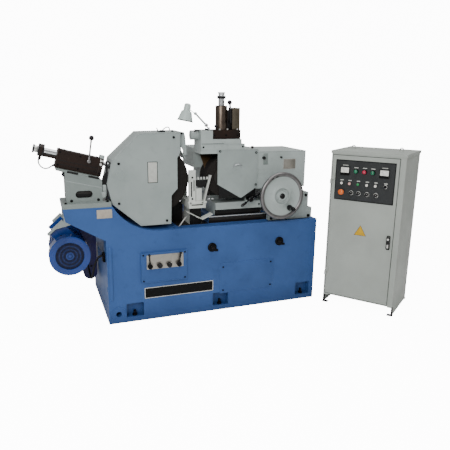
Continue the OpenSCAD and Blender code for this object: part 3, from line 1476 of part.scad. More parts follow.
// A round push button with its plunger
module push_button(i, tint) cabinet() color(tint) {
    p = place(button_shares[i], button_row_share);
    back = plate_face + button_stroke + slide_gap;
    rod_y(p[0], -back, p[1], plunger_r, back + cab_sheet);
    rod_y(p[0], -plate_face - bezel_h - button_h, p[1], button_r,
        bezel_h + button_h - button_stroke - slide_gap);
}
module push_button_1() push_button(0, "#E6E3DC");
module push_button_2() push_button(1, "#D9A6A0");
module push_button_3() push_button(2, "#2E8B4F");
module push_button_4() push_button(3, "#E6E3DC");
module push_button_5() push_button(4, "#E6E3DC");
module emergency_stop() cabinet() color("#D8501E") {
    p = place(stop_share, selector_row_share);
    back = plate_face + bezel_h + stop_stroke + slide_gap;
    rod_y(p[0], -back, p[1], plunger_r, back + cab_sheet);
    rod_y(p[0], -back - stop_h * 2/3, p[1], stop_r, stop_h * 2/3);
    translate([p[0], -back - stop_h * 2/3, p[1]]) rotate([90, 0, 0])
        cylinder(r1 = stop_r, r2 = stop_r * 0.7, h = stop_h / 3);
}
// A turning selector with a bar grip
module selector(i) cabinet() color(black) {
    p = place(selector_shares[i], selector_row_share);
    rod_y(p[0], -plate_face - slide_gap - over, p[1], plunger_r, plate_face + cab_sheet);
    rod_y(p[0], -plate_face - bezel_h - slide_gap, p[1], button_r, bezel_h);
    rod_y(p[0], -plate_face - 2 * bezel_h - slide_gap, p[1], selector_r, bezel_h);
    translate([p[0], -plate_face - 4 * bezel_h, p[1]]) rotate([0, 45, 0])
        translate([-selector_w / 2, 0, -selector_l / 2])
            cube([selector_w, 2 * bezel_h, selector_l]);
}
module selector_1() selector(0);
module selector_2() selector(1);
module selector_3() selector(2);
module selector_4() selector(3);

bed_casting();
bed_fittings();
valve_panel();
valve_lever_left();
valve_lever_right();
throttle_knob_left();
throttle_knob_right();
grinding_head();
wheel_guard();
guard_cover();
cover_screws();
splash_flap();
grinding_wheel();
grinding_spindle();
spindle_bearings();
drive_belts();
belt_guard();
motor_frame();
motor_fan_cover();
motor_rotor();
motor_plate();
motor_conduit();
dresser_bracket();
dresser_barrel();
dresser_quill();
dresser_knob();
dresser_lever();
dresser_hose();
work_rest();
work_blade();
feed_slide();
regulating_head();
regulating_cover();
regulating_wheel();
regulating_spindle();
infeed_box();
infeed_screw();
handwheel();
handwheel_grip();
clamp_lever();
top_dresser_base();
top_dresser_body();
top_dresser_quill();
top_dresser_lever();
lamp_arm();
lamp_shade();
cabinet_shell();
cabinet_door();
control_panel();
door_handle();
emergency_stop();
push_button_1();
push_button_2();
push_button_3();
push_button_4();
push_button_5();
selector_1();
selector_2();
selector_3();
selector_4();
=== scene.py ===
import math

import bmesh
import bpy
import numpy as np
from mathutils import Matrix


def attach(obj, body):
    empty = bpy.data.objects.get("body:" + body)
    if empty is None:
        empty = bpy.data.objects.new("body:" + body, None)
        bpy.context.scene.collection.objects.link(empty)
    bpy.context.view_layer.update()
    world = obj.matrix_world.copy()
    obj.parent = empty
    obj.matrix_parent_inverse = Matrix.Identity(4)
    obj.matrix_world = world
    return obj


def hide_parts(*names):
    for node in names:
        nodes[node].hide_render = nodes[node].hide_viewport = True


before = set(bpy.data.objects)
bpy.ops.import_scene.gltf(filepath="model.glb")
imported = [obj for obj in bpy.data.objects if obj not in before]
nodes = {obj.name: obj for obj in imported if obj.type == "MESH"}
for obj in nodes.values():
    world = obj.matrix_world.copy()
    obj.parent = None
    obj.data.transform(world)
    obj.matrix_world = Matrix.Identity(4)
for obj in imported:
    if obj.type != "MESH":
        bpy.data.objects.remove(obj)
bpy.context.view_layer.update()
print("frame loaded:", len(nodes), "nodes")

# places
# Sizes below are in millimetres from the bed's front left corner on the floor.


def bedPlace(points):
    # bed millimetres to metres in the shared frame
    return (np.asarray(points, float) + [-875, -450, 0]) / 1000


def dresserPlace(points):
    # the dresser's own axes: first along the quill, turned down by 14.5 degrees about y
    p = np.asarray(points, float)
    c, s = math.cos(math.radians(14.5)), math.sin(math.radians(14.5))
    turned = np.stack([p[:, 0] * c + p[:, 2] * s, p[:, 1], p[:, 2] * c - p[:, 0] * s], 1)
    return bedPlace(turned + [-396, 145, 1310])


def cabinetPlace(points):
    # the cabinet's own axes, turned 52.5 degrees about its front left corner
    p = np.asarray(points, float)
    c, s = math.cos(math.radians(-52.5)), math.sin(math.radians(-52.5))
    turned = np.stack([p[:, 0] * c - p[:, 1] * s, p[:, 0] * s + p[:, 1] * c, p[:, 2]], 1)
    return bedPlace(turned + [1784, -118, 0])


# camera
camera = {
    "place": (-1.3285, -4.0416, 1.6662),
    "yaw": 20.96,  # degrees to the right of the +Y axis
    "pitch": 13.97,  # degrees down
    "roll": 0.845,
    "lens": 40.32,  # mm on a 36 mm sensor
}


def matrixOf(right, up, back, place):
    rows = np.eye(4)
    rows[:3, 0], rows[:3, 1], rows[:3, 2], rows[:3, 3] = right, up, back, place
    return Matrix(rows.tolist())


def newObject(name, data):
    obj = bpy.data.objects.new(name, data)
    bpy.context.scene.collection.objects.link(obj)
    return obj


def newMesh(name, points, faces, finish):
    mesh = bpy.data.meshes.new(name)
    mesh.from_pydata(points.tolist(), [], faces)
    mesh.materials.append(finish)
    return mesh


def cameraMatrix():
    yaw, pitch, roll = (math.radians(camera[k]) for k in ("yaw", "pitch", "roll"))
    ahead = np.array([math.sin(yaw) * math.cos(pitch), math.cos(yaw) * math.cos(pitch), -math.sin(pitch)])
    right = np.array([math.cos(yaw), -math.sin(yaw), 0.0])
    up = np.cross(right, ahead)
    across = math.cos(roll) * right + math.sin(roll) * up
    above = math.cos(roll) * up - math.sin(roll) * right
    return matrixOf(across, above, -ahead, camera["place"])


cameraData = bpy.data.cameras.new("photoCamera")
cameraData.lens = camera["lens"]
cameraData.sensor_width = 36
cameraObject = newObject("photoCamera", cameraData)
cameraObject.matrix_world = cameraMatrix()
bpy.context.scene.camera = cameraObject
print("camera set")

# surfaces
# Every maker returns (points, faces); points are an array in millimetres.


def gridFaces(rows, columns, loopRows, loopColumns):
    # quads of a rows x columns grid of points, joined round where it loops
    r = np.arange(rows if loopRows else rows - 1)
    c = np.arange(columns if loopColumns else columns - 1)
    r, c = (m.ravel() for m in np.meshgrid(r, c, indexing="ij"))
    below, beside = (r + 1) % rows, (c + 1) % columns
    return np.stack([r * columns + c, r * columns + beside, below * columns + beside, below * columns + c], 1)


def sheetOf(grid, loopRows=False, loopColumns=False, caps=False):
    # a skin over a grid of points; caps close its first and last row
    grid = np.asarray(grid, float)
    rows, columns = grid.shape[:2]
    faces = gridFaces(rows, columns, loopRows, loopColumns).tolist()
    if caps:
        faces.append(list(range(columns))[::-1])
        faces.append(list(range((rows - 1) * columns, rows * columns)))
    return grid.reshape(-1, 3), faces


def loft(grid):
    # closed skin through rings of points
    return sheetOf(grid, loopColumns=True, caps=True)


def turned(centre, axis, profile, sides=40, caps=True, flutes=0, depth=0.0):
    # turned part: a profile of (height along the axis, radius) swept once round it;
    # flutes makes the radius wave by depth as cos(flutes * angle)
    profile = np.asarray(profile, float)
    angle = np.linspace(0, 2 * np.pi, sides, endpoint=False)
    named = {"x": (1, 0, 0), "y": (0, 1, 0), "z": (0, 0, 1)}
    along = np.asarray(named[axis] if isinstance(axis, str) else axis, float)
    along /= np.linalg.norm(along)
    side = np.cross(along, (0.0, 0.0, 1.0) if abs(along[2]) < 0.9 else (0.0, 1.0, 0.0))
    side /= np.linalg.norm(side)
    other = np.cross(along, side)
    wave = 1 + depth * np.cos(flutes * angle) if flutes else np.ones(sides)
    ring = np.cos(angle)[:, None] * side + np.sin(angle)[:, None] * other
    grid = (np.asarray(centre, float) + profile[:, 0, None, None] * along
            + (profile[:, 1, None] * wave)[:, :, None] * ring[None])
    return sheetOf(grid, loopColumns=True, caps=caps)


def insetOutline(outline, inset):
    # moves each corner of an outline inwards along the mean of its edges' normals
    p = np.asarray(outline, float)
    area = np.sum(p[:, 0] * np.roll(p[:, 1], -1) - np.roll(p[:, 0], -1) * p[:, 1])
    edge = np.roll(p, -1, 0) - p
    edge /= np.linalg.norm(edge, axis=1)[:, None] + 1e-9
    normal = np.stack([-edge[:, 1], edge[:, 0]], 1) * np.sign(area)
    mitre = normal + np.roll(normal, 1, 0)
    mitre /= np.maximum(np.sum(mitre * normal, 1), 0.5)[:, None]
    return p + inset * mitre


def pressed(outline, front, back, edge=1.0):
    # plate: an (x, z) outline carried from y = front to y = back, with its rim rounded
    step = math.copysign(1, back - front) * edge
    rows = [(front, edge), (front + step * 0.3, edge * 0.3), (front + step, 0.0),
            (back - step, 0.0), (back - step * 0.3, edge * 0.3), (back, edge)]
    grid = np.array([np.insert(insetOutline(outline, i), 1, y, axis=1) for y, i in rows])
    return loft(grid)


def band(outer, inner, front, back):
    # flat frame between two outlines of as many points, from y = front to y = back
    rows = [np.insert(np.asarray(o, float), 1, y, axis=1)
            for o, y in ((outer, front), (inner, front), (inner, back), (outer, back))]
    return sheetOf(np.array(rows), loopRows=True, loopColumns=True)


def rectangle(x0, x1, z0, z1, round=0.0, steps=5):
    # outline of a rectangle with quarter-circle corners
    if not round:
        return np.array([(x0, z0), (x1, z0), (x1, z1), (x0, z1)], float)
    turn = np.linspace(0, np.pi / 2, steps)
    corners = [(x1 - round, z0 + round, -np.pi / 2), (x1 - round, z1 - round, 0.0),
               (x0 + round, z1 - round, np.pi / 2), (x0 + round, z0 + round, np.pi)]
    return np.concatenate([np.stack([x + round * np.cos(a + turn), z + round * np.sin(a + turn)], 1)
                           for x, z, a in corners])


def smoothRoute(route, each=6):
    # Catmull-Rom curve through the route's points
    p = np.asarray(route, float)
    p = np.concatenate([[2 * p[0] - p[1]], p, [2 * p[-1] - p[-2]]])
    t = np.linspace(0, 1, each, endpoint=False)[:, None]
    runs = [0.5 * (2 * b + (c - a) * t + (2 * a - 5 * b + 4 * c - d) * t ** 2
                   + (3 * b - a - 3 * c + d) * t ** 3)
            for a, b, c, d in zip(p[:-3], p[1:-2], p[2:-1], p[3:])]
    return np.concatenate(runs + [p[-2:-1]])


def pipe(route, radius, sides=14, upright=(0.0, 1.0, 0.1), ribs=None):
    # tube: a circle carried along a route; ribs gives a radius for each point
    p = np.asarray(route, float)
    heading = np.gradient(p, axis=0)
    heading /= np.linalg.norm(heading, axis=1)[:, None]
    side = np.cross(np.asarray(upright, float), heading)
    side /= np.linalg.norm(side, axis=1)[:, None]
    other = np.cross(heading, side)
    a = np.linspace(0, 2 * np.pi, sides, endpoint=False)[None, :, None]
    size = np.full(len(p), float(radius)) if ribs is None else np.asarray(ribs, float)
    grid = p[:, None] + size[:, None, None] * (np.cos(a) * side[:, None] + np.sin(a) * other[:, None])
    return loft(grid)


def ball(centre, radius, sides=28):
    # sphere as a turned half circle
    a = np.linspace(-np.pi / 2 + 0.02, np.pi / 2 - 0.02, sides // 2)
    return turned(centre, "z", np.stack([radius * np.sin(a), radius * np.cos(a)], 1), sides)


def capScrew(x, y, z, radius, height, axis="y"):
    # socket screw head with a rounded rim and a six-sided well; it stands towards -axis
    profile = [(0, radius), (-height + radius * 0.2, radius), (-height, radius * 0.82),
               (-height, radius * 0.5), (-height * 0.45, radius * 0.46), (-height * 0.45, 0.05)]
    return turned((x, y, z), axis, profile, 24)


def hexHead(x, y, z, radius, height, axis="y"):
    # hexagon head on a washer
    washer = turned((x, y, z), axis, [(0, radius * 1.25), (-height * 0.22, radius * 1.25)], 24)
    head = turned((x, y, z), axis, [(-height * 0.22, radius), (-height * 0.9, radius),
                                    (-height, radius * 0.86)], 6)
    return merged([washer, head])


def block(x0, x1, y0, y1, z0, z1, edge=1.5):
    # cast or cut block with rounded rims
    return pressed(rectangle(x0, x1, z0, z1, edge * 1.5, 4), y0, y1, edge)


def merged(parts):
    points, faces, count = [], [], 0
    for p, f in parts:
        points.append(p)
        faces += [[i + count for i in face] for face in f]
        count += len(p)
    return np.concatenate(points), faces


def addPiece(name, body, finish, parts, place=bedPlace, sharp=35):
    # one object from its parts, at the origin, riding its body
    points, faces = merged(parts if isinstance(parts, list) else [parts])
    mesh = newMesh(name, place(points), faces, finish)
    mesh.update()
    obj = newObject(name, mesh)
    work = bmesh.new()
    work.from_mesh(mesh)
    bmesh.ops.remove_doubles(work, verts=work.verts, dist=1e-6)
    bmesh.ops.recalc_face_normals(work, faces=work.faces)
    work.to_mesh(mesh)
    work.free()
    mesh.shade_smooth()
    mesh.set_sharp_from_angle(angle=math.radians(sharp))
    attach(obj, body)
    return obj


def rimOf(corners, lip, front, back, round=4, inner=4):
    # flat frame, lip wide, just inside a rectangle
    x0, x1, z0, z1 = corners
    return band(rectangle(x0, x1, z0, z1, round), rectangle(x0 + lip, x1 - lip, z0 + lip, z1 - lip, inner),
                front, back)


def screwRow(name, body, places, y, radius, height):
    # cap screws with their heads' seats at one y
    addPiece(name, body, blackSteel, [capScrew(x, y, z, radius, height) for x, z in places])


def leaning(degrees):
    # the z axis turned towards x by this many degrees
    a = math.radians(degrees)
    return np.array([math.sin(a), 0.0, math.cos(a)])


def dresserPiece(name, body, finish, parts, sharp=35):
    return addPiece(name, body, finish, parts, dresserPlace, sharp)


def cabinetPiece(name, body, finish, parts):
    return addPiece(name, body, finish, parts, cabinetPlace)


# finishes


def linear(hexCode, alpha=1.0):
    # sRGB hex to the linear values Blender works in
    parts = [int(hexCode[i:i + 2], 16) / 255 for i in (1, 3, 5)]
    return tuple(c / 12.92 if c <= 0.04045 else ((c + 0.055) / 1.055) ** 2.4 for c in parts) + (alpha,)


def addNode(tree, kind, settings=None, links=None):
    # one shader node; a setting is a property where the node has one, else a socket
    node = tree.nodes.new(kind)
    for key, value in (settings or {}).items():
        if isinstance(key, str) and hasattr(node, key):
            setattr(node, key, value)
        else:
            node.inputs[key].default_value = value
    for key, (source, output) in (links or {}).items():
        tree.links.new(source.outputs[output], node.inputs[key])
    return node


def perMetre(size):
    # pattern scale for a feature of this many millimetres
    return 1000.0 / size


def startFinish(name, settings):
    finish = bpy.data.materials.new(name)
    finish.use_nodes = True
    tree = finish.node_tree
    tree.nodes.clear()
    shader = addNode(tree, "ShaderNodeBsdfPrincipled", settings)
    addNode(tree, "ShaderNodeOutputMaterial", None, {"Surface": (shader, "BSDF")})
    return finish, tree, shader, (addNode(tree, "ShaderNodeTexCoord"), "Object")


def mixColours(tree, first, second, factor, amount=None):
    # mixes two colours, each a hex value or a (node, output) pair
    node = addNode(tree, "ShaderNodeMix", {"data_type": "RGBA"})
    for index, value in ((6, first), (7, second)):
        if isinstance(value, str):
            node.inputs[index].default_value = linear(value)
        else:
            tree.links.new(value[0].outputs[value[1]], node.inputs[index])
    if amount is not None:
        factor = (addNode(tree, "ShaderNodeMath", {"operation": "MULTIPLY", 1: amount},
                          {0: factor}), 0)
    tree.links.new(factor[0].outputs[factor[1]], node.inputs[0])
    return node, 2


def ramp(tree, source, low, high):
    # stretches a pattern so that low becomes 0 and high becomes 1
    return addNode(tree, "ShaderNodeMapRange", {"From Min": low, "From Max": high, "clamp": True},
                   {"Value": source}), 0


def edgeMask(tree, width):
    # where the surface turns within width millimetres, from a rounded and the true normal
    rounded = addNode(tree, "ShaderNodeBevel", {"samples": 4, "Radius": width / 1000})
    true = addNode(tree, "ShaderNodeNewGeometry")
    dot = addNode(tree, "ShaderNodeVectorMath", {"operation": "DOT_PRODUCT"},
                  {0: (rounded, "Normal"), 1: (true, "Normal")})
    return ramp(tree, (dot, "Value"), 0.985, 0.88)


def noiseIn(tree, place, size, detail, roughness=0.5):
    # noise with features of about size millimetres
    return addNode(tree, "ShaderNodeTexNoise",
                   {"Scale": perMetre(size), "Detail": detail, "Roughness": roughness}, {"Vector": place})


def surfaceOf(tree, shader, tone, height, peel, depth, gloss=None, lowest=0.0, highest=1.0):
    # base colour, a bump of depth metres, and roughness between lowest and highest along gloss
    tree.links.new(tone[0].outputs[tone[1]], shader.inputs["Base Color"])
    bump = addNode(tree, "ShaderNodeBump", {"Strength": peel, "Distance": depth}, {"Height": height})
    tree.links.new(bump.outputs[0], shader.inputs["Normal"])
    if gloss:
        level = addNode(tree, "ShaderNodeMapRange", {"To Min": lowest, "To Max": highest}, {"Value": gloss})
        tree.links.new(level.outputs[0], shader.inputs["Roughness"])


def enamel(name, colour, shade, chip, grain=2.2, rough=0.36, peel=0.12, sootAndShade=None, coat=0.15, floor=None,
           shine=0.3):
    # machine enamel: sprayed, with orange peel of about grain mm, slow drifts of tone,
    # paint rubbed thin on edges, and greasy dirt in patches
    finish, tree, shader, place = startFinish(name, {"Coat Weight": coat, "Coat Roughness": 0.2,
                                                    "Specular IOR Level": shine})
    drift = noiseIn(tree, place, 260, 4.0)
    tone = mixColours(tree, colour, shade, ramp(tree, (drift, 0), 0.35, 0.7))
    if sootAndShade:
        stain = noiseIn(tree, place, 70, 6.0, 0.7)
        tone = mixColours(tree, tone, sootAndShade, ramp(tree, (stain, 0), 0.56, 0.8), 0.5)
    # darker over the lowest 160 mm, by height alone
    if floor:
        split = addNode(tree, "ShaderNodeSeparateXYZ", None, {0: place})
        tone = mixColours(tree, tone, floor, ramp(tree, (split, 2), 0.16, 0.0), 0.55)
    rub = noiseIn(tree, place, 9, 5.0)
    worn = addNode(tree, "ShaderNodeMath", {"operation": "MULTIPLY"},
                   {0: edgeMask(tree, 2.5), 1: ramp(tree, (rub, 0), 0.45, 0.62)})
    tone = mixColours(tree, tone, chip, (worn, 0), 0.7)
    surfaceOf(tree, shader, tone, (noiseIn(tree, place, grain, 2.0), 0), peel, 0.0008,
              (drift, 0), rough - 0.06, rough + 0.12)
    return finish


def metal(name, colour, dark, rough=0.3, grain=1.0, stretch=(1, 1, 1), stain=0.5, patch=40):
    # cut or ground metal: tool marks of grain mm drawn out along stretch, oil stains in patches
    finish, tree, shader, place = startFinish(name, {"Metallic": 1.0})
    laid = addNode(tree, "ShaderNodeMapping", {"Scale": stretch}, {"Vector": place})
    marks = (noiseIn(tree, (laid, 0), grain, 3.0), 0)
    oil = noiseIn(tree, place, patch, 5.0)
    tinted = mixColours(tree, colour, dark, ramp(tree, (oil, 0), 0.42, 0.75), stain)
    lined = mixColours(tree, tinted, dark, ramp(tree, marks, 0.45, 0.8), 0.35)
    surfaceOf(tree, shader, lined, marks, 0.12, 0.0004, marks, rough - 0.08, rough + 0.14)
    return finish


def moulded(name, colour, shade, rough=0.35, grain=1.2, peel=0.1, coat=0.0, patch=25, glow=0.0,
            shine=0.25):
    # moulded plastic, rubber or stove paint: fine grain and a slight drift of tone
    finish, tree, shader, place = startFinish(name, {"Coat Weight": coat, "Specular IOR Level": shine})
    tone = mixColours(tree, colour, shade, ramp(tree, (noiseIn(tree, place, patch, 4.0), 0), 0.35, 0.7))
    if glow:
        shader.inputs["Emission Color"].default_value = linear(colour)
        shader.inputs["Emission Strength"].default_value = glow
    fine = (noiseIn(tree, place, grain, 2.0), 0)
    surfaceOf(tree, shader, tone, fine, peel, 0.0005, fine, max(rough - 0.08, 0.04), rough + 0.1)
    return finish


def gritStone(name, colour, grit, size=1.6):
    # bonded abrasive: cells of grit, drawn coarser than the real 0.3 mm so that they show
    finish, tree, shader, place = startFinish(name, {"Roughness": 0.88, "Specular IOR Level": 0.15})
    cells = addNode(tree, "ShaderNodeTexVoronoi", {"Scale": perMetre(size)}, {"Vector": place})
    tone = mixColours(tree, colour, grit, ramp(tree, (cells, "Color"), 0.3, 0.9), 0.7)
    surfaceOf(tree, shader, tone, (cells, "Distance"), 0.5, 0.0006)
    return finish


# blue alkyd enamel sprayed on cast iron: satin, orange peel, darker towards the floor
blueEnamel = enamel("blueCastingEnamel", "#34548A", "#2E4C7E", "#6686B4", sootAndShade="#213C66",
                    floor="#16305A", rough=0.42, coat=0.04, shine=0.2)
# pale grey-green enamel on sheet steel: satin, cleaner than the castings
sheetEnamel = enamel("paleSheetEnamel", "#8F9896", "#838C8A", "#B8BEBC", sootAndShade="#6E7673", peel=0.08)
# the same paint on castings: a little lighter, with heavier peel
castEnamel = enamel("paleCastingEnamel", "#9DA6A4", "#8E9794", "#C4CAC7", sootAndShade="#68706D", grain=3.5,
                    peel=0.22)
# the same paint darker: on the dresser's bracket and the drive's stop plate, and as painted shade in the
# handwheel's hub groove
bracketEnamel = enamel("darkerCastingEnamel", "#7C8582", "#6C7572", "#A4ABA8", sootAndShade="#525957", grain=3.5,
                       peel=0.22)
# grey powder coat on the cabinet's folded sheet: fine even grain
powderCoat = enamel("greyPowderCoat", "#9DA29C", "#939892", "#B8BCB7", grain=1.2, rough=0.45, peel=0.1,
                    coat=0.05)
# glossy blue enamel of the motor: bright highlights on the ribs
motorEnamel = enamel("glossBlueMotorEnamel", "#173C84", "#102C64", "#4474BC", sootAndShade="#0A1C44", rough=0.22,
                     coat=0.25)
# navy enamel on thin sheet: the belt guard
navyEnamel = enamel("navySheetEnamel", "#1E1A5C", "#161446", "#3A3880", rough=0.34, sootAndShade="#0C0C2C")
# oil-blackened brown casting of the dressers: dark, greasy sheen
brownCasting = enamel("oiledBrownCasting", "#22150F", "#140C09", "#4A382E", sootAndShade="#0A0807", rough=0.36,
                      coat=0.06, shine=0.18, grain=3.0, peel=0.2)
# the upper dresser's turned sleeve: brown-grey, half bright
brownSteel = metal("oiledBrownSteel", "#5E544B", "#2C241E", rough=0.34, grain=0.8, stretch=(1, 1, 0.15))
oliveSteel = metal("oliveOxideSteel", "#665F52", "#37332C", rough=0.42, grain=1.0, stretch=(1, 1, 0.15))
# ground and polished shafts and quills
groundSteel = metal("groundSteel", "#C9CCCE", "#8D8F90", rough=0.28, grain=0.7)
polishedSteel = metal("hardChromedSteel", "#DADCDD", "#9A9C9E", rough=0.14, grain=0.5, stain=0.25)
# milled cast iron of the work rest: pale and matt
milledIron = enamel("milledPaleIron", "#BFC3BD", "#A8ACA6", "#E2E4E0", sootAndShade="#6A6A62", rough=0.3,
                    grain=1.5, peel=0.15)
# oxide-blackened screws and small parts
blackSteel = metal("oxideBlackSteel", "#1E1E20", "#0C0C0E", rough=0.42, grain=0.8)
# dark film with brown and ochre patches: swarf stain, and painted shade inside the wheel housings, on the
# regulating spindle and under the slide and guard
stainAndShadeFilm = enamel("swarfStainAndShadeFilm", "#120D0A", "#080706", "#241A12", sootAndShade="#3A240C", rough=0.5,
                      coat=0.2, grain=4, peel=0.4)
# dried coolant, ochre to brown, on the sheet under the regulating wheel's dresser
ochreFilm = enamel("driedCoolantFilm", "#4A3820", "#2E2216", "#6A5432", sootAndShade="#1C150E", rough=0.5, coat=0.1,
                   grain=5, peel=0.3)
# flat black: painted shade on sheets in gaps, grooves, slots, recesses and housings; also the meters' black
# needles
sootAndShade = moulded("shadeAndNeedleBlack", "#060607", "#0B0B0C", rough=0.6, patch=60)
# phenolic knobs: glossy black
phenolic = moulded("blackPhenolic", "#080809", "#0E0E10", rough=0.24, coat=0.08)
rubber = moulded("blackRubber", "#0E0E10", "#161618", rough=0.7, peel=0.3)
greyHoseRubber = moulded("greyHoseRubber", "#565C5C", "#484E4E", rough=0.45)
navyPlastic = moulded("navyFanPlastic", "#121A3C", "#0D1430", rough=0.4)
# the handwheel's rim, dulled by hands
rimSteel = metal("handledRimSteel", "#7A7878", "#565454", rough=0.36, grain=0.6)
castAluminium = metal("turnedAluminium", "#A9A9AB", "#7C7A7A", rough=0.3, grain=0.6)
# anodised label plates, left bare
plateAluminium = metal("anodisedPlate", "#A8A49C", "#8C8880", rough=0.4, grain=0.6, stretch=(0.1, 1, 1))
beigePlate = moulded("beigeLabelStock", "#A8A093", "#988F84", rough=0.45)
yellowPlate = moulded("yellowPlate", "#C49A1C", "#B48C18", rough=0.4)
seamGrey = moulded("shadowedSeam", "#4A4E4A", "#404440", rough=0.6)
blackPlate = moulded("blackAnodisedPlate", "#040405", "#080809", rough=0.34, shine=0.12)
silverLine = metal("brightTrim", "#D8D8D4", "#A8A8A4", rough=0.3)
panelPlastic = moulded("blackPanelLaminate", "#262829", "#2E3031", rough=0.38, patch=80)
meterFace = moulded("meterFace", "#E2E2DC", "#D6D6CE", rough=0.2, coat=0.5)
greenLens = moulded("greenLens", "#0F6B4A", "#0B5038", rough=0.12, coat=0.8, glow=0.15)
redLens = moulded("redLens", "#A81B3C", "#86122E", rough=0.12, coat=0.8, glow=0.2)
whiteButton = moulded("whiteButton", "#E6E3DC", "#D8D4CC", rough=0.25, coat=0.3)
pinkButton = moulded("pinkButton", "#DDB0A8", "#CFA098", rough=0.25, coat=0.3)
greenButton = moulded("greenButton", "#2E8B4F", "#257544", rough=0.25, coat=0.3)
orangeStop = moulded("orangeStopCap", "#D86A24", "#B84E18", rough=0.22, coat=0.4)
tagWhite = moulded("engravedTag", "#B8BAB4", "#A8AAA4", rough=0.4)
bulbGlass = moulded("opalBulbGlass", "#F2EFE4", "#E8E4D6", rough=0.1, coat=0.6)
lampEnamel = enamel("lampShadeEnamel", "#AEBAB6", "#9DA9A5", "#D8E0DD", rough=0.28, grain=1.5, peel=0.05)
wheelStone = gritStone("fusedAluminaWheel", "#161413", "#2A2623")
print("finishes made")

finishedNodes = [
    (blueEnamel, "bed_casting valve_panel"),
    (blackSteel, "bed_fittings cover_screws clamp_lever"),
    (phenolic, "valve_lever_left valve_lever_right throttle_knob_left throttle_knob_right handwheel_grip"
               " top_dresser_lever door_handle selector_1 selector_2 selector_3 selector_4"),
    (castEnamel, "grinding_head motor_plate feed_slide regulating_head infeed_box handwheel"
                 " top_dresser_base"),
    (sheetEnamel, "wheel_guard guard_cover splash_flap regulating_cover"),
    (wheelStone, "grinding_wheel regulating_wheel"),
    (groundSteel, "grinding_spindle spindle_bearings dresser_knob work_blade infeed_screw lamp_arm"),
    (rubber, "drive_belts motor_conduit"),
    (navyEnamel, "belt_guard"),
    (motorEnamel, "motor_frame motor_fan_cover"),
    (navyPlastic, "motor_rotor"),
    (bracketEnamel, "dresser_bracket"),
    (brownCasting, "dresser_barrel top_dresser_body"),
    (polishedSteel, "dresser_quill top_dresser_quill"),
    (rimSteel, "dresser_lever"),
    (greyHoseRubber, "dresser_hose"),
    (milledIron, "work_rest"),
    (stainAndShadeFilm, "regulating_spindle"),
    (lampEnamel, "lamp_shade"),
    (powderCoat, "cabinet_shell cabinet_door"),
    (panelPlastic, "control_panel"),
    (orangeStop, "emergency_stop"),
    (whiteButton, "push_button_1 push_button_4 push_button_5"),
    (pinkButton, "push_button_2"),
    (greenButton, "push_button_3"),
]
for finish, names in finishedNodes:
    for nodeName in names.split():
        nodes[nodeName].data.materials.clear()
        nodes[nodeName].data.materials.append(finish)
print("nodes finished:", len(nodes))

# hose and conduit
conduit = {
    "radius": 8.0,
    "rib": 1.0,  # how far the spiral stands out and in
    "route": [(-16, 100, 520), (-30, 101, 518), (-46, 104, 508), (-60, 110, 488), (-70, 118, 460),
              (-78, 128, 430), (-84, 140, 398), (-88, 156, 364), (-91, 180, 332), (-93, 212, 312),
              (-95, 246, 306), (-97, 278, 316), (-100, 304, 338), (-104, 320, 364), (-107, 327, 388),
              (-108, 328, 410.5)],
}


conduitRoute = smoothRoute(conduit["route"], 8)
wave = conduit["radius"] - conduit["rib"] * (np.arange(len(conduitRoute)) % 2)
motorConduit = addPiece("motorConduit", "frame", rubber,
    pipe(conduitRoute, conduit["radius"], 12, ribs=wave), sharp=60)
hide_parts("motor_conduit")
addPiece("legBox", "frame", blackSteel, [
    block(-16, 0, 76, 124, 472, 544, 2), block(-20, -15, 80, 120, 478, 538, 2),
    capScrew(-20, 86, 484, 3, 2, (1, 0, 0)), capScrew(-20, 114, 532, 3, 2, (1, 0, 0))])

hose = {
    "radius": 5.0,
    "route": [(0, 0, -54.5), (-4, 0, -75), (5, 0, -98), (25, 0, -116), (49, 0, -121), (70, 0, -113),
              (86, 0, -98), (99, 0, -87)],
}
hoseRoute = smoothRoute(hose["route"], 8)
dresserHose = dresserPiece("dresserHose", "dresser", greyHoseRubber,
    pipe(hoseRoute, hose["radius"], 16, (0.0, 1.0, 0.0)), 60)
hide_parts("dresser_hose")
print("hose and conduit laid")

# bed
bed = {
    "plate": (273, 827, 176, 262),  # bare name board
    "shelfPlate": (-57, 52, 827, 892),
    "door": (885, 1360, 140, 396),  # service door's outline
    "bolts": [(911, 363), (1332, 368), (1333, 167), (912, 166)],
    "panel": (250, 605, 305, 541),
    "dial": (289, 579, 410, 526),
    "plugs": [816, 1403],
}
valves = {"left": 315, "throttles": [390, 465], "right": 540, "z": 437.75}


def labelPlate(name, body, corners, front, thick, face, trim, lip=5, round=6):
    # bare label: a face in a rim
    addPiece(name + "Face", body, face, pressed(rectangle(*corners, round), front - thick, front + 1, 0.8))
    addPiece(name + "Rim", body, trim,
        rimOf(corners, lip, front - thick - 0.6, front, round, max(round - lip, 1)))


labelPlate("nameBoard", "frame", bed["plate"], 0, 2, blackPlate, silverLine)
labelPlate("shelfLabel", "frame", bed["shelfPlate"], 0, 1, beigePlate, plateAluminium, lip=2, round=3)
addPiece("serviceDoor", "frame", blueEnamel, pressed(rectangle(*bed["door"], 6), -2.2, 1, 1.0))
screwRow("serviceDoorBolts", "frame", bed["bolts"], -2.2, 7, 5)
x0, x1, z0, z1 = bed["panel"]
addPiece("valvePanelLip", "frame", blueEnamel, rimOf(bed["panel"], 7, -15.6, -13.5, 3, 3))
screwRow("valvePanelScrews", "frame", [(x, z) for x in (x0 + 16, x1 - 16) for z in (z0 + 16, z1 - 16)],
    -14, 6.5, 5)
dialX0, dialX1, dialZ0, dialZ1 = bed["dial"]
addPiece("dialPlate", "frame", plateAluminium,
    pressed(rectangle(dialX0 + 2, dialX1 - 2, dialZ0 + 2, dialZ1 - 2, 5), -16.8, -15.8, 0.4))
ticks = []
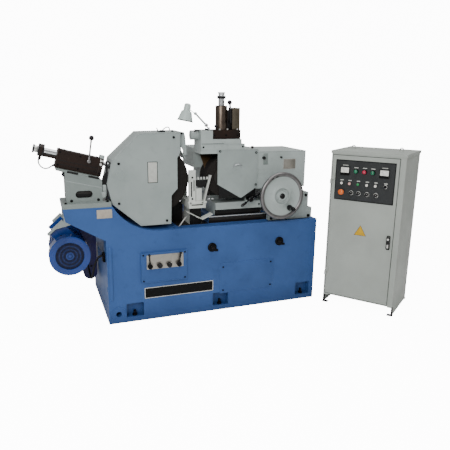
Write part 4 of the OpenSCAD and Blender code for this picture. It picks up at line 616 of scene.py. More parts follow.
for valveX in (valves["left"], *valves["throttles"], valves["right"]):
    for turn in np.linspace(-60, 60, 7):
        a = math.radians(90 - turn)
        outward = np.array([math.cos(a), math.sin(a)])
        across, near, far = np.array([math.sin(a), -math.cos(a)]) * 0.9, outward * 25, outward * 31
        corners = np.array([near - across, near + across, far + across, far - across]) + [valveX, valves["z"]]
        ticks.append(pressed(corners, -17.1, -16.4, 0.1))
addPiece("dialTicks", "frame", blackPlate, ticks)
# the plugs' turned caps with their locking ears
addPiece("plugCaps", "frame", blackSteel,
    [turned((x, -26, 538), "y", [(-1.5, 12), (-1.5, 16), (0, 20), (6, 24.4), (14, 24.4), (17, 34), (20, 36.4),
                                 (25, 36.4)], 36) for x in bed["plugs"]]
    + [pressed(rectangle(x + 18, x + 48, 504, 522, 6), -13, -6, 1.5) for x in bed["plugs"]])
addPiece("plugSlots", "frame", brownCasting,
    [pressed(rectangle(x - 10, x + 10, 535, 541, 2), -28.2, -27, 0.5) for x in bed["plugs"]])
# rounded boss round the lifting-bar hole
archAngles = np.linspace(0, np.pi, 21)
archOuter = np.concatenate([np.stack([73 + 52 * np.cos(archAngles), 78 + 52 * np.sin(archAngles)], 1),
                            [(21, 60), (21, 40), (21, 14), (73, 14), (125, 14), (125, 40), (125, 60)]])
archTurn = np.arctan2(archOuter[:, 1] - 73, archOuter[:, 0] - 73)
archInner = np.stack([73 + 23 * np.cos(archTurn), 73 + 23 * np.sin(archTurn)], 1)
addPiece("liftingBoss", "frame", blueEnamel, band(archOuter, archInner, -2.5, 0.5))
# half-round rib down the bed's front left corner
ribAngles = np.linspace(np.pi, 2 * np.pi, 15)
ribSide = np.stack([26 + 15 * np.cos(ribAngles), 10 * np.sin(ribAngles)], 1)
ribHeights = [(186, 0.2), (192, 0.8), (200, 1.0), (596, 1.0), (604, 0.8), (610, 0.2)]
ribGrid = np.array([np.column_stack([26 + (ribSide[:, 0] - 26) * k, 1 + (ribSide[:, 1] - 1) * k,
                                     np.full(len(ribSide), h)]) for h, k in ribHeights])
addPiece("cornerRib", "frame", blueEnamel, loft(ribGrid), sharp=50)
# dark film on the way's front, the trough and the head's pad: oil stain with painted shade under the slide
# and the grinding head, and a bright rubbing strip
addPiece("wayFilm", "frame", stainAndShadeFilm,
    block(822, 1328, 103.6, 105.4, 706, 752, 0.6))
addPiece("wayLedge", "frame", groundSteel, block(822, 1328, 102.6, 105.4, 753, 762, 0.6))
addPiece("troughFilm", "frame", stainAndShadeFilm, block(522, 1698, 32, 98, 645.3, 648, 0.6))
addPiece("padFilm", "frame", stainAndShadeFilm,
    [block(150, 640, 298.4, 300.4, 706, 819, 0.6), block(300, 818, 302, 596, 705.2, 706.6, 0.5)])
# dark film on top of the bed and of the way: oil stain with painted shade under the guard and the slide
addPiece("bedTopFilm", "frame", stainAndShadeFilm, [block(560, 820, 102, 500, 705.2, 707, 0.5),
                                                block(824, 1328, 106, 126, 762.2, 763.4, 0.3)])
print("bed dressed")

# coolant valves
knobProfile = [(0, 18), (-2, 19.6), (-18, 19.6), (-22, 17.5), (-24, 15), (-27.5, 13.5), (-27.5, 5),
               (-26.6, 3), (-26.6, 0.4)]
for side, x in zip(("Left", "Right"), valves["throttles"]):
    knob = addPiece("throttleKnob" + side, "throttle_" + side.lower(), phenolic, [
        turned((x, -16.3, valves["z"]), "y", knobProfile, 72, flutes=12, depth=0.045),
        turned((x, -14, valves["z"]), "y", [(-3, 6), (12, 6)], 20)], sharp=50)
    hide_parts("throttle_knob_" + side.lower())
for side, x, lean in (("Left", valves["left"], -3), ("Right", valves["right"], 10)):
    up = leaning(lean)
    start = np.array([x, -25.8, valves["z"]])
    addPiece("valveBoss" + side, "valve_" + side.lower(), blackSteel, [
        turned((x, -35.3, valves["z"]), "y", [(-1.2, 4), (-1.2, 15), (0.5, 19.2), (4, 19.3)], 32),
        turned(start + up * 18, up, [(0, 8), (5, 6.2), (12, 5.4)], 20)])
print("valves dressed")

# motor
mx, mz = -250, 537  # the motor's axis
addPiece("grilleHub", "frame", motorEnamel, [
    turned((mx, 99, mz), "y", [(-1.2, 8), (-1.2, 13), (0, 14), (6, 14)], 28),
    turned((mx, 98.4, mz), "y", [(4, 25), (-1, 25), (-1.6, 22), (-1, 19), (4, 19)], 36)])
spoke = np.array([(30, -1.2), (99, -1.2), (99, 1.2), (30, 1.2)])
addPiece("grilleMesh", "frame", navyPlastic,
    [turned((mx, 99.8, mz), "y", [(0, r + 1.3), (-1, r + 1.3), (-1, r - 1.3), (0, r - 1.3)], 64, caps=False)
     for r in range(31, 100, 5)]
    + [pressed(spoke @ np.array([(math.cos(a), math.sin(a)), (-math.sin(a), math.cos(a))]) + [mx, mz],
               98.9, 99.7, 0.1) for a in np.radians(np.arange(0, 360, 22.5))])
addPiece("coverRim", "frame", motorEnamel,
    turned((mx, 99.5, mz), "y", [(0.6, 146.8), (-0.8, 142), (-1.6, 134), (-1.2, 120), (-2.2, 108),
                                 (-1.4, 102), (0.6, 101.6)], 96, caps=False))
addPiece("fanCoverScrews", "frame", blackSteel, [
    capScrew(mx + 147 * math.cos(a), 182, mz + 147 * math.sin(a), 5, 4, (-math.cos(a), 0, -math.sin(a)))
    for a in np.radians([20, 110, 200, 290])])
addPiece("terminalLid", "frame", motorEnamel, [
    block(-182, -91, 299, 390, 409, 414, 1.5), block(-95.5, -91, 307, 382, 418, 470, 1.5),
    turned((-108, 328, 414), "z", [(-10, 14), (-6, 14), (0, 12)], 6)])
addPiece("beltGuardScrews", "frame", blackSteel,
    [hexHead(x, 550, z, 7, 6) for x, z in ((-330, 470), (-170, 450), (-60, 300), (60, 690), (330, 1150))])
print("motor dressed")

# wheel dresser
leverLean = leaning(-5.5)
dresserPiece("dresserCollar", "dresser", phenolic, [
    turned((0, 0, 0), "x", [(-20.2, 12), (-20.6, 40), (-17, 43.6), (-9, 43.8), (-8, 42.4), (8, 42.4),
                            (9, 43.8), (17, 43.6), (20.4, 40), (20.4, 22)], 56, caps=False)])
dresserPiece("dresserDrum", "dresser_knob_body", silverLine,
    turned((-38.5, 0, 0), "x", [(-6, 22.2), (-5, 23.4), (14, 23.4), (16, 22.2)], 60, caps=False,
           flutes=30, depth=0.012))
ringProfile = [(-1, 6), (-1.2, 22), (0, 26), (1.6, 29.6), (11, 29.6), (12.4, 26), (12.4, 22)]
dresserPiece("dresserKnobRing", "dresser_knob_body", phenolic,
    turned((-56, 0, 0), "x", ringProfile, 72, flutes=24, depth=0.02))
dresserPiece("quillScale", "dresser_quill_body", blackPlate, [
    turned((s, 0, 0), "x", [(0, 21.15), (0.7, 21.15)], 40, caps=False) for s in range(36, 100, 9)])
dresserPiece("barrelScrews", "dresser", blackSteel, [
    capScrew(s, v, 37, 5, 4, (0, 0, -1)) for s in (118, 150, 380, 412) for v in (-34, 34)] + [
    capScrew(s, -56, v, 6, 4) for s in (122, 260, 408) for v in (-70, 20)])
# painted shade: black strips in the barrel's grooves
dresserPiece("barrelGroove", "dresser", sootAndShade, [
    block(104.5, 425.5, -56.6, -55.4, -38, -34, 0.2), block(104.5, 425.5, -56.6, -55.4, -66, -62, 0.2)])
dresserPiece("barrelEnd", "dresser", brownCasting, [
    block(104, 118, -57.2, -50, -91, 36.4, 2), block(396, 425, -57.2, -50, -91, 36.4, 2)])
dresserPiece("barrelEndBlock", "dresser", castEnamel,
    [block(392, 425, -55, -20, 37, 62, 3), block(398, 424, 18, 52, 37, 56, 3)])
dresserPiece("barrelEndClip", "dresser", silverLine,
    [block(398, 422, -63, -56.5, 14, 30, 2), block(400, 418, -62, -56.5, -14, 4, 2)])
dresserPiece("dresserBall", "dresser_lever_body", phenolic, ball(leverLean * 165 + [322, -65.8, 0], 18.4))
dresserPiece("leverStem", "dresser_lever_body", rimSteel,
    turned((322, -65.8, 0), leverLean, [(30, 7.4), (60, 6.2), (110, 6.0), (150, 7.0)], 24))
dresserPiece("leverFerrule", "dresser_lever_body", rimSteel, [
    turned((322, -65.8, 0), leverLean, [(10, 9), (24, 8.4), (32, 5.4)], 24),
    turned((322, -75.4, 0), "y", [(-2, 4), (-2, 9), (0, 12.6), (3, 13)], 28)])
# painted shade: black pads in the bracket's notches, and a black sheet in the gap beside it
dresserPiece("notchShade", "frame", sootAndShade, [
    block(s, s + 74, -101.8, -99, -108, -93, 1) for s in (190, 336)])
addPiece("bracketGapShade", "frame", sootAndShade, pressed([(-4, 1106), (34, 1160), (32, 1046), (-4, 1044)], 62, 66, 1))
# fittings at the hose's two ends
dresserPiece("hoseFittings", "dresser", blackSteel, [
    turned((0, 0, -52), "z", [(-18, 7), (-17, 9), (-6, 9), (-5, 11), (4, 11)], 6, caps=True),
    turned((100, 0, -86), (0.76, 0, 0.64), [(-12, 7.5), (8, 8.5)], 6)])
# bolts and rubber strips between the dresser, its bracket and the wheel housing
addPiece("bracketBolts", "frame", blackSteel,
    [hexHead(-242 + 226 * k, 45, 958, 8, 7) for k in (0.1, 0.92)]
    + [turned((x, 24, 942), "z", [(0, 11), (3, 11), (3, 8), (10, 8)], 6) for x in (-262, 26)]
    + [turned((-255, 100 + 90 * k, z), "x", [(0, 7), (-14, 7), (-15, 5)], 6)
       for k in (0, 1) for z in (1130, 1150)])
addPiece("bracketSeam", "frame", sheetEnamel,
    [pressed([(-250, 1098), (-8, 1040), (-8, 1046), (-250, 1104)], 44.0, 45.4, 0.4)])
# painted shade: a black sheet behind the oval window
addPiece("windowShade", "frame", sootAndShade, block(-236, -26, 67.4, 68.6, 965, 1035, 0.4))
addPiece("windowTrim", "frame", stainAndShadeFilm, block(-228, -34, 64, 68, 1000, 1024, 2))
gasket = smoothRoute([(35, 60, 1230), (35, 60, 1180), (34, 60, 1130), (26, 60, 1080), (22, 60, 1030),
                      (30, 60, 990), (24, 60, 948)], 5)
addPiece("gasketStrip", "frame", rubber,
    loft(np.stack([gasket + [x, y, 0] for x, y in ((-7, 0), (7, 0), (7, 2.5), (-7, 2.5))], 1)), sharp=70)
addPiece("splashCollar", "frame", castEnamel,
    [block(-2, 28, 58, 120, 1000, 1062, 6), turned((6, 60, 1010), "z", [(0, 24), (-30, 20), (-44, 12)], 24)])
print("dresser dressed")

# grinding wheel housing
guardShares = np.array([(0.434, 0), (0.859, 0), (0.867, 0.316), (0.953, 0.39), (0.953, 0.723),
                        (0.991, 0.777), (1, 1), (0.453, 0.991), (0.077, 0.716), (0, 0.473), (0.062, 0.254)])
guardOutline = guardShares * [547, 689] + [29, 742]
guardScrews = [(0.904, 0.945), (0.16, 0.68), (0.147, 0.26), (0.797, 0.041)]
addPiece("guardLip", "frame", sheetEnamel,
    band(guardOutline, insetOutline(guardOutline, 5), 38.6, 40.4))
screwRow("guardScrewHeads", "frame", [(29 + u * 547, 742 + v * 689) for u, v in guardScrews], 37, 9, 7)
# painted shade: a black band round the inside of the wheel housing
addPiece("guardInnerShade", "frame", sootAndShade, [
    band(insetOutline(guardOutline, 6.3), insetOutline(guardOutline, 7.6), 48, 292)])
# round mark on the cover
addPiece("guardMark", "frame", sheetEnamel,
    turned((130, 38.4, 1133), "y", [(0, 34), (-0.8, 33), (-0.8, 30), (0, 29)], 48, caps=False))
labelPlate("guardLabel", "frame", (325, 400, 1062, 1218), 40, 0.6, tagWhite, blackPlate, lip=4, round=4)
# coolant tap, hooked pipe and bolt on the housing's roof
addPiece("coolantTap", "frame", blackSteel, [
    pipe(smoothRoute([(424, 100, 1428), (420, 100, 1440), (412, 100, 1458)]), 4, 12),
    turned((446, 100, 1427), "z", [(0, 15), (6, 15), (10, 11), (16, 10)], 24),
    block(430, 474, 92, 108, 1429, 1441, 2)])
addPiece("hookedPipe", "frame", groundSteel,
    pipe(smoothRoute([(452, 100, 1436), (462, 100, 1446), (474, 100, 1456), (490, 100, 1463),
                      (503, 100, 1460), (509, 100, 1448), (506, 100, 1434)]), 4.5, 14))
addPiece("roofBolt", "frame", blackSteel,
    turned((531, 100, 1430), "z", [(0, 10), (4, 10), (4, 7), (13, 7)], 6))
addPiece("flapEnds", "flap", blackSteel,
    [turned((588, 73, 1420), "y", [(-22, 3), (-22, 8), (-18, 9)], 20)])
# painted shade: a black sheet on the flap's shaded side
addPiece("flapShadedFace", "flap", sootAndShade,
    pressed([(584.4, 1405), (585.6, 1405), (585.6, 1293), (584.4, 1291)], 76, 235, 0.2))
cheek = [(580, 1430), (612, 1428), (622, 1400), (633, 1262), (616, 1256), (602, 1290), (584, 1330),
         (580, 1400)]
addPiece("flapCheek", "flap", sheetEnamel, pressed(cheek, 72, 76, 1.0))
addPiece("flangeNut", "grinding_rotor", groundSteel, [
    turned((395, 57, 1078), "y", [(0, 40), (-6, 40), (-8, 36)], 6),
    turned((395, 57, 1078), "y", [(0, 110), (-2, 104), (-2, 60), (0, 54)], 64, caps=False)])
print("guard dressed")

# work rest
cupX, cupZ = 733, 1068  # middle of the cup's rim
cupAngles = np.linspace(np.pi, 2 * np.pi, 25)
cupOutline = np.stack([cupX + 55 * np.cos(cupAngles), cupZ + 1 + 60 * np.sin(cupAngles)], 1)
addPiece("cupFace", "frame", sootAndShade, pressed(cupOutline, 38.6, 47, 2.0))
addPiece("cupTeeth", "frame", milledIron,
    [pressed([(cupX - 48 + 24 * i, cupZ + 4), (cupX - 36 + 24 * i, cupZ + 4),
              (cupX - 38 + 24 * i, cupZ + 22), (cupX - 46 + 24 * i, cupZ + 22)], 40, 60, 1.5)
     for i in range(5)])
addPiece("guideEdge", "frame", silverLine,
    loft([[(759, 37, 905), (768, 37, 905), (768, 38.4, 905), (759, 38.4, 905)],
          [(811, 37, 1103), (821, 37, 1103), (821, 38.4, 1103), (811, 38.4, 1103)]]))
# painted shade: black strips in the posts' slots and under the rest
addPiece("postSlots", "frame", sootAndShade, [
    pressed(rectangle(655, 664, 940, 1058, 4), 37, 38.4, 0.3),
    pressed(rectangle(676, 683, 985, 1070, 3), 37, 38.4, 0.3), block(660, 752, 36.8, 38.2, 872, 880, 0.3)])
screwRow("restBolts", "frame", [(666, 925), (666, 1090), (748, 893), (652, 893)], 38, 7, 6)
addPiece("restPlate", "frame", milledIron, [
    block(697, 742, 36.5, 70, 906, 1004, 3), block(634, 782, 34, 60, 884, 904, 3)])
# painted shade: black sheets in the gap by the work rest and on the pedestal under it
addPiece("gapShadePanel", "frame", sootAndShade, block(562, 650, 246, 249, 707, 870, 0.5))
addPiece("pedestalShade", "frame", sootAndShade, [block(664, 758, 102.9, 103.7, 707, 850, 0.2)])
addPiece("chuteStrip", "frame", silverLine,
    loft([[(556, 56, 706), (572, 56, 713), (572, 60, 713), (556, 60, 706)],
          [(609, 56, 776), (627, 56, 790), (627, 60, 790), (609, 60, 776)]]))
addPiece("trayFloor", "frame", silverLine, [
    loft([[(637, 39, 829), (718, 39, 766), (718, 104, 766), (637, 104, 829)],
          [(637, 39, 830.5), (718, 39, 767.5), (718, 104, 767.5), (637, 104, 830.5)]])])
addPiece("coolantDrops", "frame", polishedSteel,
    [ball((x, 62, 912), 6) for x in (812, 842)] + [pipe([(796, 62, 912), (812, 62, 912)], 3),
                                                   pipe([(826, 62, 912), (842, 62, 912)], 3)])
print("work rest dressed")

# regulating head
# painted shade inside the regulating head: dark sheets on its back wall and under its roof
addPiece("headInnerShade", "feed", stainAndShadeFilm, [
    block(840, 1206, 243.4, 244.8, 905, 1261, 0.4), block(746, 880, 68, 243, 1259.6, 1261.8, 0.4)])
addPiece("headShadowLiner", "feed", sootAndShade, block(892, 1206, 67, 69, 910, 1260, 0.4))
addPiece("coolantApron", "feed", ochreFilm,
    loft([[(786, 236, 1256), (880, 236, 1256), (880, 240, 1256), (786, 240, 1256)],
          [(800, 150, 1150), (884, 150, 1150), (884, 154, 1150), (800, 154, 1150)],
          [(786, 120, 1072), (850, 120, 1060), (850, 124, 1060), (786, 124, 1072)]]), sharp=60)
coverOutline = np.array([(0, 1), (0, 0.303), (0.584, 0), (1, 0.225), (1, 1)]) * [339, 386] + [878, 906]
addPiece("coverLip", "feed", sheetEnamel, band(coverOutline, insetOutline(coverOutline, 5), 58.6, 60.4))
screwRow("coverScrewHeads", "feed",
    [(878 + u * 339, 906 + v * 386) for u, v in ((0.05, 0.97), (0.95, 0.93), (0.96, 0.27))], 60, 9, 7)
handleHalf = [(33, 62, 1160), (27, 50, 1168), (9, 44, 1176)]  # x from the handle's middle
handleRoute = smoothRoute([(1043 - x, y, z) for x, y, z in handleHalf]
                          + [(1043 + x, y, z) for x, y, z in handleHalf[::-1]])
addPiece("coverHandle", "feed", groundSteel, pipe(handleRoute, 4.5, 14, (0.0, 0.6, 1.0)))
addPiece("driveKnobs", "feed", phenolic, [
    turned((1262, 54, 1222), "y", [(-22, 4), (-21, 11), (-14, 13), (0, 12), (6, 7)], 28),
    turned((1420, 54, 1222), "y", [(-10, 3), (-9, 7), (0, 8), (6, 8)], 24)])
addPiece("driveStopPlate", "feed", bracketEnamel,
    pressed(rectangle(1264, 1304, 1166, 1256, 3), 58.4, 60.4, 0.5))
labelPlate("driveLabel", "feed", (1443, 1555, 1124, 1208), 60, 0.8, plateAluminium, silverLine, 3, 3)
addPiece("domeKnob", "feed", brownCasting,
    turned((1188, 110, 1292), "z", [(0, 7), (6, 7), (8, 12), (15, 13), (20, 9), (22, 2)], 24))
addPiece("driveSeam", "feed", sheetEnamel, rimOf((1219, 1644, 977, 1270), 5, 59.2, 60.3, 6))
addPiece("slideBand", "feed", sootAndShade, [
    block(881, 1284, 127.6, 129, 763, 811, 0.4), block(1284.6, 1286, 130, 474, 763, 811, 0.4)])
clampLean = leaning(57.5)
addPiece("clampKnobs", "clamp", phenolic, [
    turned(clampLean * 92 * k + [1157, 44.6, 893.4], clampLean * k,
           [(-40, 7), (-30, 11), (-6, 11.5), (4, 8), (6, 2)], 24) for k in (1, -1)]
    + [turned((1157, 39.6, 893.4), "y", [(-4, 5), (-4, 14), (0, 19), (6, 20.4)], 32)])
screwRow("slideBolts", "feed", [(1255, 840)], 100, 7, 5)
print("regulating head dressed")

# handwheel
hx, hz = 1370, 932  # the handwheel's axis
gripX, gripZ = 1437.7, 835.3  # the grip's axis
dishProfile = [(-4, 14), (-12, 26), (-12, 36), (-3, 40), (4, 44), (4, 56), (-6, 62), (-8, 68), (-2, 76),
               (4, 100), (2, 130), (-4, 150), (-12, 166), (2, 168), (10, 160), (12, 120), (14, 60), (36, 50),
               (36.6, 15)]
dish = addPiece("handwheelDish", "handwheel_body", castEnamel,
                turned((hx, -80, hz), "y", dishProfile, 96, caps=False), sharp=60)
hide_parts("handwheel")
rimTurn = np.linspace(0, 2 * np.pi, 17)
addPiece("handwheelRim", "handwheel_body", rimSteel,
    turned((hx, -81, hz), "y", np.stack([16.6 * np.sin(rimTurn), 172 + 17.5 * np.cos(rimTurn)], 1), 112,
           caps=False), sharp=70)
addPiece("handwheelShaft", "handwheel_body", groundSteel, [
    turned((hx, -98, hz), "y", [(6, 13.9), (436, 13.9)], 32),
    turned((hx, 318, hz), "y", [(0, 23.6), (24, 23.6)], 48)])
addPiece("handwheelNut", "handwheel_body", phenolic, [
    turned((hx, -94, hz), "y", [(8, 22), (0, 22), (-3, 18), (-3, 11), (1, 10), (1, 1)], 36),
    turned((gripX, -93, gripZ), "y", [(12, 17), (2, 16), (0, 9)], 28)])
# painted shade in the hub's groove, in the darker casting enamel
addPiece("hubGroove", "handwheel_body", bracketEnamel,
    turned((hx, -86, hz), "y", [(0, 57), (-2.4, 59), (-2.4, 62), (0, 64)], 72, caps=False))
rimMarks = []
for radius, first in ((163, 112), (167, 126)):
    corners = [(radius, first), (radius, first - 6), (radius + 5, first - 6), (radius + 5, first)]
    rimMarks.append(pressed([(hx + r * math.cos(math.radians(a)), hz + r * math.sin(math.radians(a)))
                             for r, a in corners], -99, -91, 0.3))
addPiece("rimMarks", "handwheel_body", blackPlate, rimMarks)
grip = addPiece("gripBarrel", "grip", phenolic,
                turned((gripX, -81.3, gripZ), "y",
                       [(0, 6.2), (0, 15), (-4, 22), (-14, 23.6), (-26, 22), (-34, 17), (-48, 16),
                        (-66, 18), (-80, 17), (-88, 12), (-91, 4)], 40))
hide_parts("handwheel_grip")
addPiece("infeedBolts", "frame", blackSteel, [
    turned((1665, 60, 900), "y", [(-14, 5), (-13, 11), (-6, 12), (2, 9)], 24),
    hexHead(1700, 60, 722, 11, 9), hexHead(1352, 60, 722, 11, 9)])
addPiece("infeedSeam", "frame", castEnamel, rimOf((1332, 1690, 800, 922), 6, 58.8, 60.3, 6))
print("handwheel dressed")

# top dresser
addPiece("sleeveSkin", "top_dresser", brownSteel,
    turned((935, 150, 1440), "z", [(0, 44), (1, 45.6), (176, 45.6), (181.6, 43), (182, 25)], 64, caps=False))
addPiece("sideColumnSkin", "top_dresser", oliveSteel, block(1010, 1074, 103.6, 196, 1440, 1606, 3))
# painted shade: a black sheet in the recess
addPiece("recessSkin", "top_dresser", sootAndShade, block(978, 1012, 126, 129, 1440, 1588, 1))
addPiece("topQuillRing", "top_quill", phenolic, [
    turned((935, 150, 1672), "z", [(0, 25), (1.5, 33.6), (18, 33.6), (20, 30)], 60, flutes=30, depth=0.012)])
crownProfile = [(0, 24), (10, 20.4), (20, 22), (30, 28.4), (32, 28.4), (32, 22), (26, 20), (26, 3)]
addPiece("topQuillCrown", "top_quill", castAluminium, turned((935, 150, 1690), "z", crownProfile, 48))
addPiece("topBolts", "top_dresser", silverLine, [
    turned((x, 100, 1439.4), "z", [(0, 10), (3, 10), (3, 7.6), (11, 7.6)], 6) for x in (905, 968, 1050)])
screwRow("slabScrews", "top_dresser", [(860, 1400), (955, 1400), (1052, 1400)], 92, 7, 5)
addPiece("slabKnobs", "top_dresser", phenolic, [
    turned((877, 110, 1439.4), "z", [(0, 6), (18, 6), (20, 12), (30, 13), (38, 8), (39, 1)], 24)])
upperLever = {"foot": np.array([991.0, 92.0, 1499.2]), "length": 147, "axis": leaning(-3)}
addPiece("topLeverSleeve", "top_lever", phenolic,
    turned(upperLever["foot"], upperLever["axis"], [(12, 8), (30, 9.4), (90, 9), (136, 6.4)], 24))
addPiece("topLeverBall", "top_lever", phenolic,
    ball(upperLever["foot"] + upperLever["axis"] * upperLever["length"], 16.5))
addPiece("topFerrule", "top_lever", phenolic,
    turned((991, 86, 1499.2), "y", [(-3, 3), (-3, 8), (0, 10.6), (5, 10.6)], 24))
addPiece("blockHandles", "feed", phenolic, [
    pipe([(694, 100, 1432), (712, 100, 1434), (742, 100, 1437)], 6, 14, (0.0, 1.0, 0.0), [7, 6, 4]),
    pipe([(782, 84, 1450), (798, 84, 1444), (812, 84, 1437)], 6, 14, (0.0, 1.0, 0.0), [8, 6, 4])])
addPiece("stubRing", "feed", castEnamel, [
    turned((684, 152, 1400), "x", [(-2, 4), (-2, 24), (0, 33), (4, 37), (9, 37), (11, 36.2)], 44),
    turned((724, 152, 1400), "x", [(0, 36), (1, 39), (12, 39), (13, 36)], 44, caps=False)])
addPiece("baseSeam", "feed", sheetEnamel, [
    block(746, 1100, 60.8, 62.4, 1331.6, 1336, 0.3)])
addPiece("baseShadow", "feed", sootAndShade, block(748, 930, 60.6, 62.3, 1337, 1339.4, 0.3))
screwRow("baseBolts", "feed", [(762, 1313), (1085, 1313)], 62, 7, 5)
print("top dresser dressed")

# lamp
joint, lampUp = np.array([635.0, 122.0, 1507.0]), leaning(11)
bulbProfile = [(24, 9), (12, 11), (4, 15), (-4, 17), (-12, 14), (-17, 6), (-18, 1)]
capProfile = [(50, 33.6), (60, 29.4), (70, 27.4), (116, 25.4), (125, 22), (130, 14), (131.6, 3)]
addPiece("lampBulb", "lamp_shade_body", bulbGlass, turned(joint + lampUp * 62, lampUp, bulbProfile, 28))
# painted shade: a dark grey rim round the shade's mouth
addPiece("shadeRim", "lamp_shade_body", seamGrey,
    turned(joint, lampUp, [(-1.8, 59.6), (2, 60.6), (5, 59.6), (1, 57.6)], 64, caps=False))
addPiece("shadeCap", "lamp_shade_body", lampEnamel, turned(joint, lampUp, capProfile, 48))
addPiece("armSleeve", "lamp_arm_body", castEnamel,
    pipe([(724, 122, 1554.5), (760, 122, 1518.4), (797, 122, 1481.3)], 7.4, 20))
addPiece("armBalls", "lamp_arm_body", castEnamel,
    [ball((803.3, 122, 1475), 14.5), ball((717.8, 122, 1560.7), 12)])
addPiece("lampKnuckles", "lamp_arm_body", castAluminium, [
    turned((803.3, 111, 1475), "y", [(-4, 3), (-4, 8), (-1, 12.4), (6, 12.4)], 28)])
addPiece("lampFoot", "lamp_arm_body", castAluminium,
    turned((826, 122, 1437.6), "z", [(0, 11), (4, 11.4), (7, 8), (16, 6.4)], 28))
print("lamp dressed")

# cabinet
cabinet = {
    "plate": (42, 510, 900, 1220),
    # shares of the plate's width
    "lamps": [(0.353, greenLens), (0.496, redLens), (0.635, greenLens)],
    "meters": [0.168, 0.825],
    "buttons": [(0.122, whiteButton), (0.26, pinkButton), (0.405, greenButton), (0.554, whiteButton),
                (0.696, whiteButton)],
    "key": 0.856,
    "stop": 0.127,
    "selectors": [0.292, 0.42, 0.562, 0.712],
    # shares of its height
    "meterRow": 0.735,
    "buttonRow": 0.425,
    "selectorRow": 0.2,
}


def onPanel(u, row):
    x0, x1, z0, z1 = cabinet["plate"]
    return x0 + u * (x1 - x0), z0 + cabinet[row] * (z1 - z0)


cabinetPiece("panelRim", "door", blackPlate, rimOf(cabinet["plate"], 6, -8.2, -6.8, 4, 3))
cabinetPiece("doorLip", "door", powderCoat, rimOf((15, 531, 90, 1251), 9, -5.4, -3.8))
# painted shade in the gap round the door
cabinetPiece("doorGap", "frame", seamGrey, rimOf((9, 537, 84, 1257), 4, -0.8, 0.4))
triangle = np.array([(math.sin(a), math.cos(a)) for a in np.radians([0, 120, 240])]) * 56
cabinetPiece("bareTriangle", "door", yellowPlate, pressed(triangle * 0.92 + [275, 654], -4.9, -3.9, 0.2))
cabinetPiece("triangleRim", "door", blackPlate, pressed(triangle + [275, 654], -4.5, -3.9, 0.2))
faces, needles, frames = [], [], []
for u in cabinet["meters"]:
    px, pz = onPanel(u, "meterRow")
    faces.append(pressed(rectangle(px - 32, px + 32, pz - 14, pz + 27, 3), -20, -18.6, 0.5))
    frames.append(band(rectangle(px - 36, px + 36, pz - 33, pz + 33, 3),
                       rectangle(px - 32, px + 32, pz - 14, pz + 28, 3), -20.6, -18.6))
    for turn in np.linspace(-50, 50, 9):
        a = math.radians(90 - turn)
        c, s = math.cos(a), math.sin(a)
        mark = [(px + c * r - s * w, pz - 12 + s * r + c * w)
                for r, w in ((33, 0.5), (33, -0.5), (37, -0.5), (37, 0.5))]
        needles.append(pressed(mark, -20.4, -19.8, 0.05))
    pointer = [(px, pz - 13), (px + 1.4, pz - 13), (px - 18, pz + 18), (px - 18.8, pz + 17.6)]
    needles.append(pressed(pointer, -20.6, -19.9, 0.1))
cabinetPiece("meterFaces", "door", meterFace, faces)
cabinetPiece("meterFrames", "door", blackPlate, frames)
cabinetPiece("meterNeedles", "door", sootAndShade, needles)
lensProfile = [(2, 15.6), (-1, 15.6), (-5, 13.5), (-9, 9), (-11, 3)]
bezelProfile = [(0, 19), (-3, 19), (-5, 17), (-13.6, 16.2), (-13.6, 15)]
for i, (u, lens) in enumerate(cabinet["lamps"], 1):
    px, pz = onPanel(u, "meterRow")
    cabinetPiece("signalLens%d" % i, "door", lens, turned((px, -21, pz), "y", lensProfile, 36))
    cabinetPiece("signalBezel%d" % i, "door", blackSteel,
        turned((px, -7, pz), "y", bezelProfile, 36, caps=False))
tagSizes = [(u, "meterRow", 16, 26, 33) for u, lens in cabinet["lamps"]]  # half width, bottom, top
tagSizes += [(u, "buttonRow", 13, 20, 28) for u in [b[0] for b in cabinet["buttons"]] + [cabinet["key"]]]
tagSizes += [(u, "meterRow", 22, 40, 46) for u in cabinet["meters"]]
tags = []
for u, row, half, low, high in tagSizes:
    px, pz = onPanel(u, row)
    tags.append(pressed(rectangle(px - half, px + half, pz + low, pz + high, 1), -7.8, -6.9, 0.2))
cabinetPiece("panelTags", "door", tagWhite, tags)
px, pz = onPanel(cabinet["key"], "buttonRow")
cabinetPiece("keyLock", "door", blackSteel, [
    turned((px, -16.6, pz), "y", [(8, 12), (0, 12), (-2, 10), (-2, 2)], 32),
    pressed(rectangle(px - 1.5, px + 1.5, pz - 8, pz + 8, 1), -20, -18, 0.3)])
cabinetPiece("keyCollar", "door", silverLine,
    turned((px, -8, pz), "y", [(0, 15), (-3, 15), (-4.5, 13), (-4.5, 12)], 36, caps=False))
for i, (u, cap) in enumerate(cabinet["buttons"], 1):
    px, pz = onPanel(u, "buttonRow")
    cabinetPiece("buttonCap%d" % i, "button_%d" % i, cap,
        turned((px, -21, pz), "y", [(2, 10.1), (-0.6, 10.1), (-1.6, 9), (-1.2, 5), (-1.0, 1)], 32))
px, pz = onPanel(cabinet["stop"], "selectorRow")
cabinetPiece("stopCap", "stop", orangeStop,
    turned((px, -24, pz), "y", [(0, 22.5), (-3, 23), (-8, 20.6), (-11.6, 15), (-13, 8), (-13.4, 1)], 44))
for i, u in enumerate(cabinet["selectors"], 1):
    px, pz = onPanel(u, "selectorRow")
    bar = [(px + (a + b) / math.sqrt(2), pz + (b - a) / math.sqrt(2))
           for a, b in ((-1.2, 3), (1.2, 3), (1.2, 15), (-1.2, 15))]
    cabinetPiece("selectorMark%d" % i, "switch_%d" % i, silverLine, pressed(bar, -28, -26.6, 0.3))
    cabinetPiece("selectorBezel%d" % i, "door", silverLine,
        turned((px, -7, pz), "y", [(0, 18), (-2.4, 18), (-3.4, 16.6), (-3.4, 15.4)], 40, caps=False))
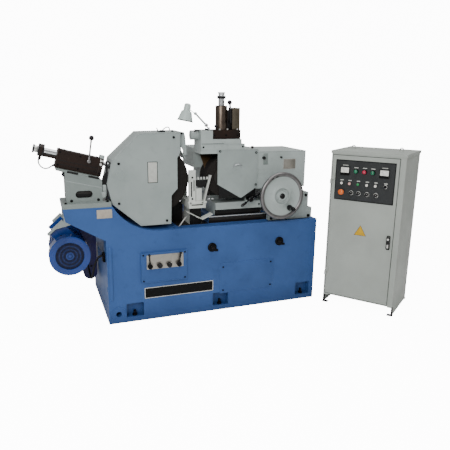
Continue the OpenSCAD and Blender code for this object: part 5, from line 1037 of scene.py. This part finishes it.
cabinetPiece("handleTrim", "handle", silverLine, [
    pressed(rectangle(495, 508, 562, 590, 3), -23.4, -22, 0.4),
    turned((501.5, -22, 632), "y", [(0, 9), (-2.4, 8.4), (-2.4, 3)], 28)])
cabinetPiece("handlePlate", "door", blackPlate,
    band(rectangle(487, 516, 545, 659, 8), rectangle(492.5, 510.5, 552, 652, 3), -6.2, -3.8))
feet = [block(x, x + 8, y0, y1, 0.4, 74, 1) for x in (-0.6, 570.6) for y0, y1 in ((-1, 34), (440, 475))]
cabinetPiece("cabinetFeet", "frame", blackSteel, feet + [
    block(x, x + 46, y0, y0 + 40, 0.2, 5, 1) for x in (-6, 538) for y0 in (-2, 438)])
cabinetPiece("eyeCollars", "frame", powderCoat, [
    turned((x, 238, 1288), "z", [(0, 13), (3, 12), (6, 7), (9, 6)], 28) for x in (96.3, 481.7)])
cabinetPiece("cabinetSideSeam", "frame", powderCoat, [
    block(576, 579.4, 30, 446, 1246, 1252, 0.8), block(576, 579.2, 448, 452, 84, 1262, 0.6)])
print("cabinet dressed")

# floor and light
stage = {"floor": "#FAFAF9", "floorGlow": 12.0, "backdrop": 16.5, "world": 0.5}
floorFinish = moulded("palePaperFloor", stage["floor"], "#EFEFEC", rough=0.9, grain=8, peel=0.02, patch=900)
# the floor bleaches to white towards the camera, as paper under studio light does
floorTree = floorFinish.node_tree
floorShader = next(n for n in floorTree.nodes if n.type == "BSDF_PRINCIPLED")
floorShader.inputs["Emission Color"].default_value = linear("#FFFFFF")
floorSeen = addNode(floorTree, "ShaderNodeLightPath")
floorGlow = addNode(floorTree, "ShaderNodeMath", {"operation": "MULTIPLY", 1: stage["floorGlow"]},
                    {0: (floorSeen, "Is Camera Ray")})
floorTree.links.new(floorGlow.outputs[0], floorShader.inputs["Emission Strength"])
# flat floor, a quarter round behind and an upright wall, in metres
reach, turnRadius, wallTop, sink = 8.0, 2.5, 9.0, 0.001
sweep = [(reach + turnRadius * math.sin(a), turnRadius - turnRadius * math.cos(a) - sink)
         for a in np.linspace(0, np.pi / 2, 9)]
profile = [(-9.0, -sink)] + sweep + [(reach + turnRadius, wallTop)]
floorGrid = [[(x * 1000 + 875, y * 1000 + 450, z * 1000) for y, z in profile] for x in (-16.0, 16.0)]
floorPoints, floorFaces = sheetOf(floorGrid)
floorMesh = newMesh("studioFloor", bedPlace(floorPoints), floorFaces, floorFinish)
floorMesh.shade_smooth()
newObject("studioFloor", floorMesh)

world = bpy.data.worlds.new("studioWorld")
world.use_nodes = True
worldTree = world.node_tree
sky = worldTree.nodes["Background"]
sky.inputs[0].default_value = linear("#FFFFFF")
# the backdrop that the camera sees is whiter than the light it casts
seen = addNode(worldTree, "ShaderNodeLightPath")
level = addNode(worldTree, "ShaderNodeMapRange", {"To Min": stage["world"], "To Max": stage["backdrop"]},
                {"Value": (seen, "Is Camera Ray")})
worldTree.links.new(level.outputs[0], sky.inputs[1])
bpy.context.scene.world = world
lights = [  # name, place, aim, size in metres, watts
    ("frontSoftbox", (-3.0, -5.0, 3.6), (0.1, 0.0, 0.8), 2.6, 250),
    ("overheadSoftbox", (0.4, -0.6, 4.6), (0.2, 0.0, 0.8), 3.2, 110),
    ("rightSoftbox", (4.4, -3.0, 2.6), (0.6, 0.0, 0.8), 2.0, 12),
]
for name, place, aim, size, watts in lights:
    data = bpy.data.lights.new(name, "AREA")
    data.size, data.energy = size, watts
    lamp = newObject(name, data)
    back = np.array(place) - np.array(aim)
    back /= np.linalg.norm(back)
    right = np.cross((0, 0, 1), back)
    right /= np.linalg.norm(right)
    lamp.matrix_world = matrixOf(right, np.cross(back, right), back, place)
print("light set")
